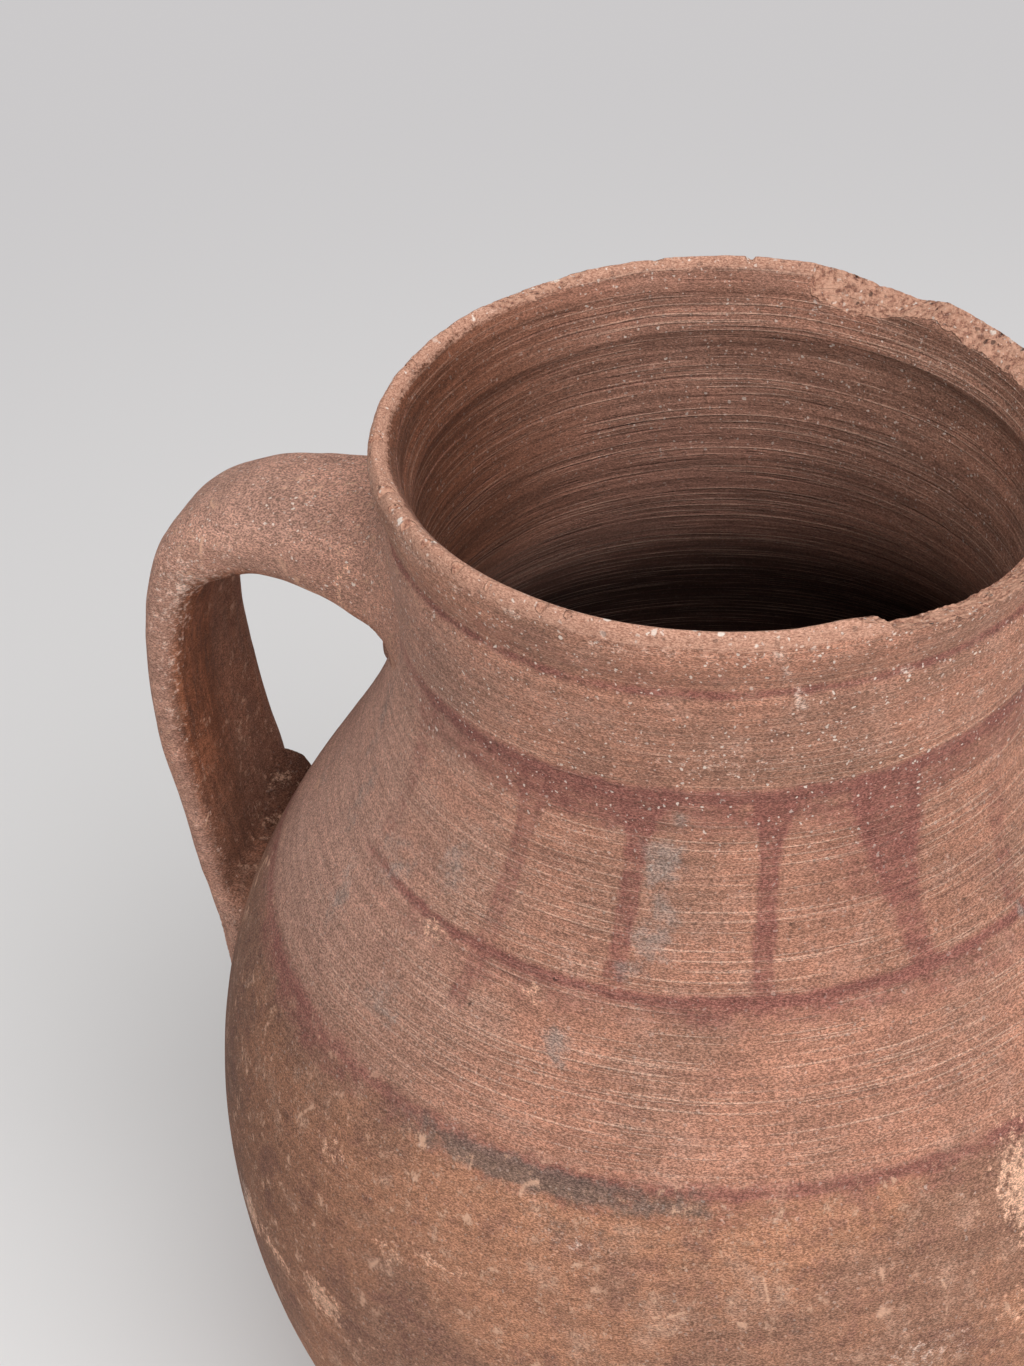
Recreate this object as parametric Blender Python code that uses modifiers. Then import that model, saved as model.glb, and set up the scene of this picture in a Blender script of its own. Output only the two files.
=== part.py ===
"""Earthenware water jug with one strap handle, built from the pieces that a potter joins.

Run it with blender --background --python part.py, or from Blender's text editor.
Lengths are metres, +Z is up, and the origin is the middle of the base, on the jug's axis.
The handle stands over -X. The wall is a stack of turned rings, each lapped over the next one down.
"""

import math

import bmesh
import bpy
from mathutils import Vector

# Outside of the vessel, stacked from the ground up: belly, shoulder, neck and collar
BELLY_HEIGHT = 0.1662
SHOULDER_RISE = 0.1848
NECK_RISE = 0.0290
COLLAR_DEPTH = 0.0200
BASE_RADIUS = 0.073
BELLY_RADIUS = 0.1544
NECK_RADIUS = 0.0885
BELLY_PULL = 0.0955
NECK_PULL = 0.0716
OGEE_HALVINGS = 40

# Collar, lip and the crease that parts the collar from the neck
COLLAR_FLARE = 0.0015
CREASE_DEPTH = 0.0011
CREASE_HALF_WIDTH = 0.0030
LIP_RADIUS = 0.0923
LIP_THICKNESS = 0.0088
LIP_RISE = 0.0058
LIP_STEPS = 8

# Walls
BODY_WALL = 0.0082
NECK_WALL = 0.0074
FLOOR_THICKNESS = 0.0100

# Joins between the turned rings: the body's lies over the belly, the neck's under the neck's waist
JOIN_GAP = 0.0003
LAP_HEIGHT = 0.0060
FOOT_STEP_HEIGHT = 0.0055
BODY_JOIN_RISE = 0.0818
NECK_JOIN_DROP = 0.0070

# Handle: each station is drop below the neck's waist, distance out from the wall there,
# strap width and strap thickness
STRAP_STATIONS = (
    (0.0070, -0.0207, 0.0780, 0.0480),
    (0.0070, -0.0017, 0.0700, 0.0420),
    (0.0058, 0.0164, 0.0590, 0.0300),
    (0.0050, 0.0364, 0.0510, 0.0232),
    (0.0078, 0.0542, 0.0485, 0.0200),
    (0.0172, 0.0681, 0.0500, 0.0174),
    (0.0363, 0.0689, 0.0530, 0.0150),
    (0.0581, 0.0597, 0.0560, 0.0134),
    (0.0800, 0.0442, 0.0575, 0.0126),
    (0.1020, 0.0274, 0.0578, 0.0122),
    (0.1240, 0.0130, 0.0596, 0.0124),
    (0.1450, 0.0023, 0.0592, 0.0122),
    (0.1630, -0.0028, 0.0510, 0.0104),
    (0.1765, -0.0042, 0.0370, 0.0080),
)
STRAP_SQUARENESS = 2.6
STRAP_SIDES = 20
STRAP_STEPS = 3
STRAP_PATH_STEP = 0.01

# Luting wads: drop and distance as for the strap, then half sizes outwards, along the wall and upwards
UPPER_WAD = (0.0285, 0.0006, 0.0080, 0.0265, 0.0088)
LOWER_WAD = (0.1235, 0.0033, 0.0090, 0.0255, 0.0130)
WAD_SIDES = 24

# Worn places in the lip: direction, half width, loss at the outside, loss at the inside
BIG_CHIP = (math.radians(64.0), math.radians(30.0), 0.0050, 0.0092)
BACK_FLAKES = (math.radians(137.0), math.radians(12.0), 0.0010, 0.0016)
FRONT_WEAR = (math.radians(-40.0), math.radians(24.0), 0.0008, 0.0022)
CHIP_EDGE = 0.22
CHIP_RIPPLE = 0.14
CHIP_RIPPLE_RATE = 7.0
CHIP_RIPPLE_START = 1.3
CHIP_STEPS = 96
CHIP_CLEARANCE = 0.0004
CHIP_HEADROOM = 0.0100

# Facets
TURN_STEPS = 60
ROW_HEIGHT = 0.0155
WELD_DISTANCE = 0.00002
SMOOTH_ANGLE = math.radians(40.0)

# Fired clay colours
CLAY = (0.305, 0.140, 0.088)
CLAY_PALE = (0.420, 0.215, 0.145)
CLAY_ROUGHNESS = 0.90

PART_COLLECTION = "earthenware_water_jug"
CUTTER_COLLECTION = "jug_cutters"

NECK_WAIST_HEIGHT = BELLY_HEIGHT + SHOULDER_RISE
COLLAR_JOIN_HEIGHT = NECK_WAIST_HEIGHT + NECK_RISE
JUG_HEIGHT = COLLAR_JOIN_HEIGHT + COLLAR_DEPTH
BODY_JOIN_HEIGHT = BELLY_HEIGHT + BODY_JOIN_RISE
NECK_JOIN_HEIGHT = NECK_WAIST_HEIGHT - NECK_JOIN_DROP
LIP_CENTRE_RADIUS = LIP_RADIUS - LIP_THICKNESS / 2
LIP_CENTRE_HEIGHT = JUG_HEIGHT - LIP_RISE


def clear_scene():
    """Remove every object, so that the jug is alone in the file."""
    for found in list(bpy.data.objects):
        bpy.data.objects.remove(found, do_unlink=True)


def smooth_step(value):
    """Ease from 0 to 1 as the value goes from 0 to 1."""
    value = min(1.0, max(0.0, value))
    return value * value * (3.0 - 2.0 * value)


def ogee_point(share):
    """Point of the S-shaped curve from the belly's widest ring to the neck's waist."""
    rest = 1.0 - share
    heights = (BELLY_HEIGHT, BELLY_HEIGHT + BELLY_PULL, NECK_WAIST_HEIGHT - NECK_PULL, NECK_WAIST_HEIGHT)
    radii = (BELLY_RADIUS, BELLY_RADIUS, NECK_RADIUS, NECK_RADIUS)
    weights = (rest ** 3, 3 * rest * rest * share, 3 * rest * share * share, share ** 3)
    radius = sum(w * r for w, r in zip(weights, radii))
    height = sum(w * z for w, z in zip(weights, heights))
    return radius, height


def ogee_radius(height):
    """Radius of the S-shaped curve at a height, found by halving."""
    low, high = 0.0, 1.0
    for _ in range(OGEE_HALVINGS):
        middle = (low + high) / 2
        if ogee_point(middle)[1] < height:
            low = middle
        else:
            high = middle
    return ogee_point((low + high) / 2)[0]


def belly_radius(height):
    """Radius of the lower half, an ellipse that passes through the edge of the base."""
    base_share = BASE_RADIUS / BELLY_RADIUS
    half_height = BELLY_HEIGHT / math.sqrt(1.0 - base_share * base_share)
    drop = (BELLY_HEIGHT - height) / half_height
    return BELLY_RADIUS * math.sqrt(1.0 - drop * drop)


def collar_radius(height):
    """Radius above the neck's waist, where the wall leans out to the lip behind a shallow crease."""
    rise = (height - NECK_WAIST_HEIGHT) / (COLLAR_JOIN_HEIGHT - NECK_WAIST_HEIGHT)
    neck = NECK_RADIUS + COLLAR_FLARE * smooth_step(rise)
    above = (height - COLLAR_JOIN_HEIGHT) / (LIP_CENTRE_HEIGHT - COLLAR_JOIN_HEIGHT)
    lean = (LIP_RADIUS - NECK_RADIUS - COLLAR_FLARE) * smooth_step(above)
    crease = CREASE_DEPTH * math.exp(-((height - COLLAR_JOIN_HEIGHT) / CREASE_HALF_WIDTH) ** 2)
    return neck + lean - crease


def outer_radius(height):
    """Radius of the jug's outside at a height below the lip's roll."""
    if height <= BELLY_HEIGHT:
        return belly_radius(height)
    if height <= NECK_WAIST_HEIGHT:
        return ogee_radius(height)
    return collar_radius(height)


def wall_at(height):
    """Thickness of the wall square to its surface, thinner from the shoulder to the neck."""
    share = (height - BODY_JOIN_HEIGHT) / (NECK_JOIN_HEIGHT - BODY_JOIN_HEIGHT)
    return BODY_WALL + (NECK_WALL - BODY_WALL) * smooth_step(share)


def level_wall(height):
    """Thickness of the wall measured level, which grows where the wall slopes."""
    reach = ROW_HEIGHT / 4
    slope = (outer_radius(height + reach) - outer_radius(height - reach)) / (2 * reach)
    return wall_at(height) * math.sqrt(1.0 + slope * slope)


def inner_radius(height):
    """Radius of the jug's inside at a height."""
    return outer_radius(height) - level_wall(height)


def lap_radius(height):
    """Radius of the middle of the wall, where a lap joint parts."""
    return outer_radius(height) - level_wall(height) / 2


def lap_face(join_height):
    """Radii of a lap's face at its foot and at its head, which never lean outwards."""
    foot = lap_radius(join_height)
    head = min(foot, lap_radius(join_height + LAP_HEIGHT))
    return foot, head


def rows(low, high):
    """Heights from low to high, in even steps of about one row."""
    count = max(2, math.ceil((high - low) / ROW_HEIGHT))
    return [low + (high - low) * step / count for step in range(count + 1)]


def ring_profile(low_join, high_join):
    """Closed outline of a wall ring between two lap joints, down its outside and up its inside.

    The ring's own tongue stands inside its head, and its foot has the rebate for the tongue below.
    """
    low_foot, low_head = lap_face(low_join)
    high_foot, high_head = lap_face(high_join)
    foot_height = low_join + JOIN_GAP
    rebate_height = low_join + LAP_HEIGHT + JOIN_GAP
    tongue_height = high_join + LAP_HEIGHT
    outline = [(outer_radius(z), z) for z in reversed(rows(foot_height, high_join))]
    outline.append((low_foot + JOIN_GAP, foot_height))
    outline.append((low_head + JOIN_GAP, rebate_height))
    outline.extend((inner_radius(z), z) for z in rows(rebate_height, tongue_height))
    outline.append((high_head, tongue_height))
    outline.append((high_foot, high_join))
    return outline


def lower_body_profile():
    """Closed outline of the lower body, whose foot laps the stepped edge of the base disc."""
    high_foot, high_head = lap_face(BODY_JOIN_HEIGHT)
    foot_height = FOOT_STEP_HEIGHT + JOIN_GAP
    tongue_height = BODY_JOIN_HEIGHT + LAP_HEIGHT
    outline = [(outer_radius(z), z) for z in reversed(rows(foot_height, BODY_JOIN_HEIGHT))]
    outline.append((inner_radius(FLOOR_THICKNESS), foot_height))
    outline.extend((inner_radius(z), z) for z in rows(FLOOR_THICKNESS, tongue_height))
    outline.append((high_head, tongue_height))
    outline.append((high_foot, BODY_JOIN_HEIGHT))
    return outline


def base_profile():
    """Open outline of the base disc, from the middle of the floor round to the middle of the base."""
    step_radius = inner_radius(FLOOR_THICKNESS) - JOIN_GAP
    return [
        (0.0, FLOOR_THICKNESS),
        (step_radius / 2, FLOOR_THICKNESS),
        (step_radius, FLOOR_THICKNESS),
        (step_radius, FOOT_STEP_HEIGHT),
        (outer_radius(FOOT_STEP_HEIGHT), FOOT_STEP_HEIGHT),
        (outer_radius(FOOT_STEP_HEIGHT / 2), FOOT_STEP_HEIGHT / 2),
        (BASE_RADIUS, 0.0),
        (BASE_RADIUS / 2, 0.0),
        (0.0, 0.0),
    ]


def lip_roll():
    """Points of the lip's roll, from its inside over the top to its outside."""
    points = []
    for step in range(LIP_STEPS + 1):
        turn = math.pi * (1.0 - step / LIP_STEPS)
        radius = LIP_CENTRE_RADIUS + LIP_THICKNESS / 2 * math.cos(turn)
        points.append((radius, LIP_CENTRE_HEIGHT + LIP_RISE * math.sin(turn)))
    return points


def collar_profile():
    """Closed outline of the collar and lip, from the lip's inside over the roll and down."""
    foot, head = lap_face(COLLAR_JOIN_HEIGHT)
    foot_height = COLLAR_JOIN_HEIGHT + JOIN_GAP
    rebate_height = COLLAR_JOIN_HEIGHT + LAP_HEIGHT + JOIN_GAP
    crease_head = COLLAR_JOIN_HEIGHT + 2 * CREASE_HALF_WIDTH
    collar_middle = (LIP_CENTRE_HEIGHT + crease_head) / 2
    crease_side = COLLAR_JOIN_HEIGHT + CREASE_HALF_WIDTH
    outline = lip_roll()
    outline.extend((outer_radius(z), z) for z in (collar_middle, crease_head, crease_side))
    outline.append((outer_radius(foot_height), foot_height))
    outline.append((foot + JOIN_GAP, foot_height))
    outline.append((head + JOIN_GAP, rebate_height))
    outline.append((inner_radius(rebate_height), rebate_height))
    return outline


def vessel_profile(clearance):
    """Open outline of the whole vessel as one solid, grown by a clearance, from lip to base."""
    points = [(0.0, JUG_HEIGHT + clearance), (LIP_CENTRE_RADIUS, JUG_HEIGHT + clearance)]
    points.append((LIP_RADIUS + clearance, LIP_CENTRE_HEIGHT))
    joins = (COLLAR_JOIN_HEIGHT, NECK_JOIN_HEIGHT, BODY_JOIN_HEIGHT, FOOT_STEP_HEIGHT)
    for high, low in zip(joins, joins[1:]):
        for z in reversed(rows(low, high)[1:]):
            points.append((outer_radius(z) + clearance * level_wall(z) / wall_at(z), z))
    points.append((outer_radius(FOOT_STEP_HEIGHT) + clearance, FOOT_STEP_HEIGHT))
    points.append((BASE_RADIUS + clearance, 0.0))
    points.append((0.0, 0.0))
    return points


def make_collection(name):
    """Add a collection under the scene and return it."""
    collection = bpy.data.collections.new(name)
    bpy.context.scene.collection.children.link(collection)
    return collection


def clay_material(name, colour):
    """Principled material of one piece of fired clay."""
    material = bpy.data.materials.new(name)
    material.use_nodes = True
    shader = material.node_tree.nodes["Principled BSDF"]
    shader.inputs["Base Color"].default_value = (*colour, 1.0)
    shader.inputs["Roughness"].default_value = CLAY_ROUGHNESS
    shader.inputs["Metallic"].default_value = 0.0
    return material


def add_mesh_object(name, mesh, collection, colour=None):
    """Link a mesh as an object, as a coloured piece or, without a colour, as a cutter."""
    thing = bpy.data.objects.new(name, mesh)
    collection.objects.link(thing)
    if colour is None:
        thing.hide_render = True
        thing.display_type = "WIRE"
    else:
        mesh.materials.append(clay_material(name + "_clay", colour))
        mesh.shade_smooth()
        mesh.set_sharp_from_angle(angle=SMOOTH_ANGLE)
    return thing


def turned(name, outline, closed, collection, colour=None):
    """Turn an outline at +X into a solid with a Screw modifier."""
    mesh = bpy.data.meshes.new(name)
    shape = bmesh.new()
    corners = [shape.verts.new((radius, 0.0, height)) for radius, height in outline]
    pairs = list(zip(corners, corners[1:]))
    if closed:
        pairs.append((corners[-1], corners[0]))
    for first, second in pairs:
        shape.edges.new((first, second))
    shape.to_mesh(mesh)
    shape.free()
    thing = add_mesh_object(name, mesh, collection, colour)
    screw = thing.modifiers.new("turn", "SCREW")
    screw.steps = TURN_STEPS
    screw.render_steps = TURN_STEPS
    screw.use_merge_vertices = True
    screw.merge_threshold = WELD_DISTANCE
    screw.use_smooth_shade = colour is not None
    return thing


def cut(thing, cutter, label):
    """Take a cutter out of a piece with an exact Boolean."""
    boolean = thing.modifiers.new(label, "BOOLEAN")
    boolean.operation = "DIFFERENCE"
    boolean.solver = "EXACT"
    boolean.object = cutter


def loft(name, sections, closed_round, collection, colour=None):
    """Bridge a list of equal point rings into one closed solid.

    The rings join end to end where closed_round is set, and are capped otherwise.
    """
    shape = bmesh.new()
    loops = []
    for section in sections:
        corners = [shape.verts.new(point) for point in section]
        edges = [shape.edges.new(pair) for pair in zip(corners, corners[1:] + corners[:1])]
        loops.append((corners, edges))
    if not closed_round:
        shape.faces.new(loops[0][0])
        shape.faces.new(loops[-1][0])
    following = loops[1:] + (loops[:1] if closed_round else [])
    for (_, first), (_, second) in zip(loops, following):
        bmesh.ops.bridge_loops(shape, edges=first + second)
    bmesh.ops.recalc_face_normals(shape, faces=shape.faces)
    mesh = bpy.data.meshes.new(name)
    shape.to_mesh(mesh)
    shape.free()
    return add_mesh_object(name, mesh, collection, colour)


def spline_value(values, place):
    """Value at a place along a list, on a curve that passes smoothly through every entry."""
    index = min(int(place), len(values) - 2)
    share = place - index
    before = values[max(index - 1, 0)]
    start, end = values[index], values[index + 1]
    after = values[min(index + 2, len(values) - 1)]
    slope_start, slope_end = (end - before) / 2, (after - start) / 2
    square, cube = share * share, share ** 3
    return (start * (2 * cube - 3 * square + 1) + slope_start * (cube - 2 * square + share)
            + end * (3 * square - 2 * cube) + slope_end * (cube - square))


def placed(drop, stand_off):
    """Distance from the axis and height of a point given from the neck's waist and the wall."""
    height = NECK_WAIST_HEIGHT - drop
    return outer_radius(height) + stand_off, height


def strap_sections(clearance):
    """Rings of points along the strap, each a rounded rectangle square to the strap's path."""
    stations = [placed(drop, stand_off) + (width, thickness)
                for drop, stand_off, width, thickness in STRAP_STATIONS]
    columns = list(zip(*stations))
    last = len(STRAP_STATIONS) - 1
    count = last * STRAP_STEPS
    sections = []
    for step in range(count + 1):
        place = step * last / count
        reach, height, width, thickness = (spline_value(column, place) for column in columns)
        near = max(place - STRAP_PATH_STEP, 0.0)
        far = min(place + STRAP_PATH_STEP, last)
        path = Vector((spline_value(columns[0], near) - spline_value(columns[0], far), 0.0,
                       spline_value(columns[1], far) - spline_value(columns[1], near))).normalized()
        outward = Vector((path.z, 0.0, -path.x))
        middle = Vector((-reach, 0.0, height))
        ring = []
        for side in range(STRAP_SIDES):
            turn = 2 * math.pi * (side + 0.5) / STRAP_SIDES
            across = math.copysign(abs(math.cos(turn)) ** (2 / STRAP_SQUARENESS), math.cos(turn))
            through = math.copysign(abs(math.sin(turn)) ** (2 / STRAP_SQUARENESS), math.sin(turn))
            offset = Vector((0.0, (width / 2 + clearance) * across, 0.0))
            ring.append(middle + offset + outward * (thickness / 2 + clearance) * through)
        sections.append(ring)
    return sections


def chip_loss(direction):
    """Clay lost from the lip in one direction, at its outside and at its inside."""
    outside, inside = 0.0, 0.0
    for middle, half_width, outer_loss, inner_loss in (BIG_CHIP, BACK_FLAKES, FRONT_WEAR):
        away = math.remainder(direction - middle, 2 * math.pi) / half_width
        share = smooth_step((1.0 - abs(away)) / CHIP_EDGE)
        ripple = 1.0 + CHIP_RIPPLE * math.sin(CHIP_RIPPLE_RATE * away + CHIP_RIPPLE_START)
        outside += outer_loss * share * ripple
        inside += inner_loss * share * ripple
    return outside, inside


def chip_sections():
    """Sections of the cutter that wears the lip down, which hangs just clear where nothing is lost."""
    inner_edge = LIP_RADIUS - 2 * LIP_THICKNESS
    outer_edge = LIP_RADIUS + LIP_THICKNESS
    whole = JUG_HEIGHT + CHIP_CLEARANCE
    top = JUG_HEIGHT + CHIP_HEADROOM
    sections = []
    for step in range(CHIP_STEPS):
        direction = 2 * math.pi * step / CHIP_STEPS
        outside, inside = chip_loss(direction)
        low_inner = whole - inside - (inside - outside)
        low_outer = whole - outside + (inside - outside)
        across = Vector((math.cos(direction), math.sin(direction), 0.0))
        corners = ((inner_edge, low_inner), (outer_edge, low_outer), (outer_edge, top), (inner_edge, top))
        sections.append([across * radius + Vector((0.0, 0.0, height)) for radius, height in corners])
    return sections


def make_wad(name, wad, cutters, collection):
    """Press an egg of luting clay into an inner angle, trimmed by the wall and by the strap."""
    drop, stand_off, out_size, along_size, up_size = wad
    reach, height = placed(drop, stand_off)
    shape = bmesh.new()
    bmesh.ops.create_uvsphere(shape, u_segments=WAD_SIDES, v_segments=WAD_SIDES // 2, radius=1.0)
    bmesh.ops.scale(shape, vec=(out_size, along_size, up_size), verts=shape.verts)
    bmesh.ops.translate(shape, vec=(-reach, 0.0, height), verts=shape.verts)
    mesh = bpy.data.meshes.new(name)
    shape.to_mesh(mesh)
    shape.free()
    thing = add_mesh_object(name, mesh, collection, CLAY)
    for cutter in cutters:
        cut(thing, cutter, "fit_" + cutter.name)
    return thing


def build():
    """Make every piece of the jug."""
    clear_scene()
    part = make_collection(PART_COLLECTION)
    guides = make_collection(CUTTER_COLLECTION)

    turned("base_disc", base_profile(), False, part, CLAY)
    turned("lower_body", lower_body_profile(), True, part, CLAY)
    turned("shoulder", ring_profile(BODY_JOIN_HEIGHT, NECK_JOIN_HEIGHT), True, part, CLAY)
    turned("neck", ring_profile(NECK_JOIN_HEIGHT, COLLAR_JOIN_HEIGHT), True, part, CLAY)
    collar = turned("rim_collar", collar_profile(), True, part, CLAY_PALE)
    cut(collar, loft("chip_cutter", chip_sections(), True, guides), "chips")

    vessel_cutter = turned("vessel_cutter", vessel_profile(JOIN_GAP), False, guides)
    strap_cutter = loft("strap_cutter", strap_sections(JOIN_GAP), False, guides)
    strap = loft("strap_handle", strap_sections(0.0), False, part, CLAY)
    cut(strap, vessel_cutter, "land_on_wall")
    make_wad("upper_root_wad", UPPER_WAD, (vessel_cutter, strap_cutter), part)
    make_wad("lower_root_wad", LOWER_WAD, (vessel_cutter, strap_cutter), part)


build()
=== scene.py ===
"""Looks of the earthenware water jug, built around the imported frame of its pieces.

Lengths are metres, or millimetres in the tables that say so. +Z is up, the origin is the middle of the
base, on the jug's axis, and the handle stands over -X. Directions round the jug are azimuths in degrees
from +X towards +Y.
"""

import logging
import math
from collections.abc import Iterable
from dataclasses import dataclass, field
from enum import Enum
from functools import cached_property

import bmesh
import bpy
import numpy as np
from mathutils import Matrix, Vector


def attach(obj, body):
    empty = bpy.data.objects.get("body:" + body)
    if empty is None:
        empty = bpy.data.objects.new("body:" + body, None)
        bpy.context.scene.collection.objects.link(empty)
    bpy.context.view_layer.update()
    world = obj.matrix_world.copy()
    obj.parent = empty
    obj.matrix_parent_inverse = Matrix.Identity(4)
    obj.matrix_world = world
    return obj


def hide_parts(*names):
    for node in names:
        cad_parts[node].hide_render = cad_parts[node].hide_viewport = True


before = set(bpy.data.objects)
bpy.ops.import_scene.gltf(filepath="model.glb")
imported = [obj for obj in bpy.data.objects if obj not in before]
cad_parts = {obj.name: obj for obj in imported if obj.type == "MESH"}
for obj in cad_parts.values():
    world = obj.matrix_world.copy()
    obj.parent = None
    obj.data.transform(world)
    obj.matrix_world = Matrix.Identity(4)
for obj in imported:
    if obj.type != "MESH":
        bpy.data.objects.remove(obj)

LOG = logging.getLogger("water_jug")
BODY = "root"
MM = 0.001
WELD_DISTANCE = 0.000004
SHARP_ANGLE = math.radians(42.0)
HANDLE_SIDE = 180.0
POURING_SIDE = 0.0
WALL_SINK = 0.0018
WHOLE_LIP = 0.404
LIT_SIDE = 45.0
MOST_PAINT = 1.2

Array = np.ndarray
Colour = tuple[float, float, float]
Socket = bpy.types.NodeSocket
Row = tuple[float, ...]


class Slot(Enum):
    """Material slots that the record names."""

    SCRAPED = "scraped_clay"
    TURNED = "turned_clay"
    LIP = "worn_lip_clay"
    HANDLE = "handle_clay"


class Trait(Enum):
    """Surface traits that are painted on the points of each mesh, 0 for none and 1 for full, up to MOST_PAINT."""

    TURNED = "turned"
    SLIP = "slip"
    SMOKE = "smoke"
    SCUFF = "scuff"
    INSIDE = "inside"
    WORN = "worn"
    BROKEN = "broken"
    WIPED = "wiped"
    CRUST = "crust"
    # Painted bounce light: orange light that lit clay throws into shaded hollows, painted into the colour.
    PAINTED_BOUNCE_LIGHT = "bounce_light"
    # Painted shade: darkening painted into the colour where little light reaches, low inside, by the handle and in
    # patches outside.
    DEPTH = "depth"


def smooth_step(value: Array) -> Array:
    """Ease from 0 to 1 as the value goes from 0 to 1."""
    value = np.clip(value, 0.0, 1.0)
    return value * value * (3.0 - 2.0 * value)


def rise(value: Array, start: float, run: float) -> Array:
    """Ease from 0 at the start to 1 a run later."""
    return smooth_step((value - start) / run)


def fall(value: Array, end: float, run: float) -> Array:
    """Ease from 1 to 0 over the run before the end."""
    return smooth_step((end - value) / run)


def turn_between(azimuth: Array, middle: "float | Array") -> Array:
    """Signed angle in degrees from a middle direction, within half a turn."""
    return (azimuth - middle + 180.0) % 360.0 - 180.0


def toward(azimuth: Array, middle: float, half_width: float) -> Array:
    """1 in a middle direction, easing to 0 at a half width in degrees on either side."""
    return smooth_step(1.0 - np.abs(turn_between(azimuth, middle)) / half_width)


def compass(azimuth: Array) -> tuple[Array, Array]:
    """Cosine and sine of directions in degrees."""
    return np.cos(np.radians(azimuth)), np.sin(np.radians(azimuth))


def round_axis(azimuth: Array, radius: Array, height: Array) -> Array:
    """Points at azimuths, radii and heights."""
    east, north = compass(azimuth)
    return np.stack((east * radius, north * radius, height), axis=1)


def run_along(across: Array, up: Array) -> Array:
    """Length of a path up to each of its points."""
    return np.concatenate(([0.0], np.cumsum(np.hypot(np.diff(across), np.diff(up)))))


def spline(values: Array, places: Array) -> Array:
    """Values at places along a list, on a curve that passes smoothly through every entry.

    Args:
        values: Entries of the list.
        places: Places counted in entries.

    Returns:
        One value for each place.
    """
    values = np.asarray(values, dtype=float)
    index = np.minimum(places.astype(int), len(values) - 2)
    share = places - index
    before, start = values[np.maximum(index - 1, 0)], values[index]
    end, after = values[index + 1], values[np.minimum(index + 2, len(values) - 1)]
    slope_start, slope_end = (end - before) / 2, (after - start) / 2
    square, cube = share ** 2, share ** 3
    return (start * (2 * cube - 3 * square + 1) + slope_start * (cube - 2 * square + share)
            + end * (3 * square - 2 * cube) + slope_end * (cube - square))


class LatticeNoise:
    """Smooth random field, from seeded values on the corners of a lattice."""

    SIZE = 256

    def __init__(self, seed: int) -> None:
        """Draw the lattice that the seed fixes."""
        draw = np.random.default_rng(seed)
        self.order = draw.permutation(self.SIZE)
        self.values = draw.uniform(-1.0, 1.0, self.SIZE)

    def at(self, x: Array, y: Array, z: Array) -> Array:
        """Values from -1 to 1 at places given in lattice cells."""
        x, y, z = np.broadcast_arrays(x, y, z)
        cells = [np.floor(part).astype(int) for part in (x, y, z)]
        shares = [smooth_step(part - cell) for part, cell in zip((x, y, z), cells)]
        total = np.zeros(x.shape)
        for corner in range(8):
            steps = (corner & 1, corner >> 1 & 1, corner >> 2 & 1)
            weight = np.ones(x.shape)
            place = np.zeros(x.shape, dtype=int)
            for cell, share, step in zip(cells, shares, steps):
                weight = weight * (share if step else 1.0 - share)
                place = self.order[(place + cell + step) % self.SIZE]
            total += weight * self.values[place]
        return total

    def layered(self, x: Array, y: Array, z: Array, layers: int, cell: float = 1.0) -> Array:
        """Sum of ever finer and fainter layers of the field.

        Args:
            x: First coordinate.
            y: Second coordinate.
            z: Third coordinate.
            layers: Number of layers.
            cell: Width of the coarsest layer's cells.

        Returns:
            Values from about -1 to 1.
        """
        x, y, z = x / cell, y / cell, z / cell
        total, strength = 0.0, 0.55
        for layer in range(layers):
            scale = 2.03 ** layer
            total = total + strength * self.at(x * scale + 7.1 * layer, y * scale, z * scale)
            strength *= 0.55
        return total


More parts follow.
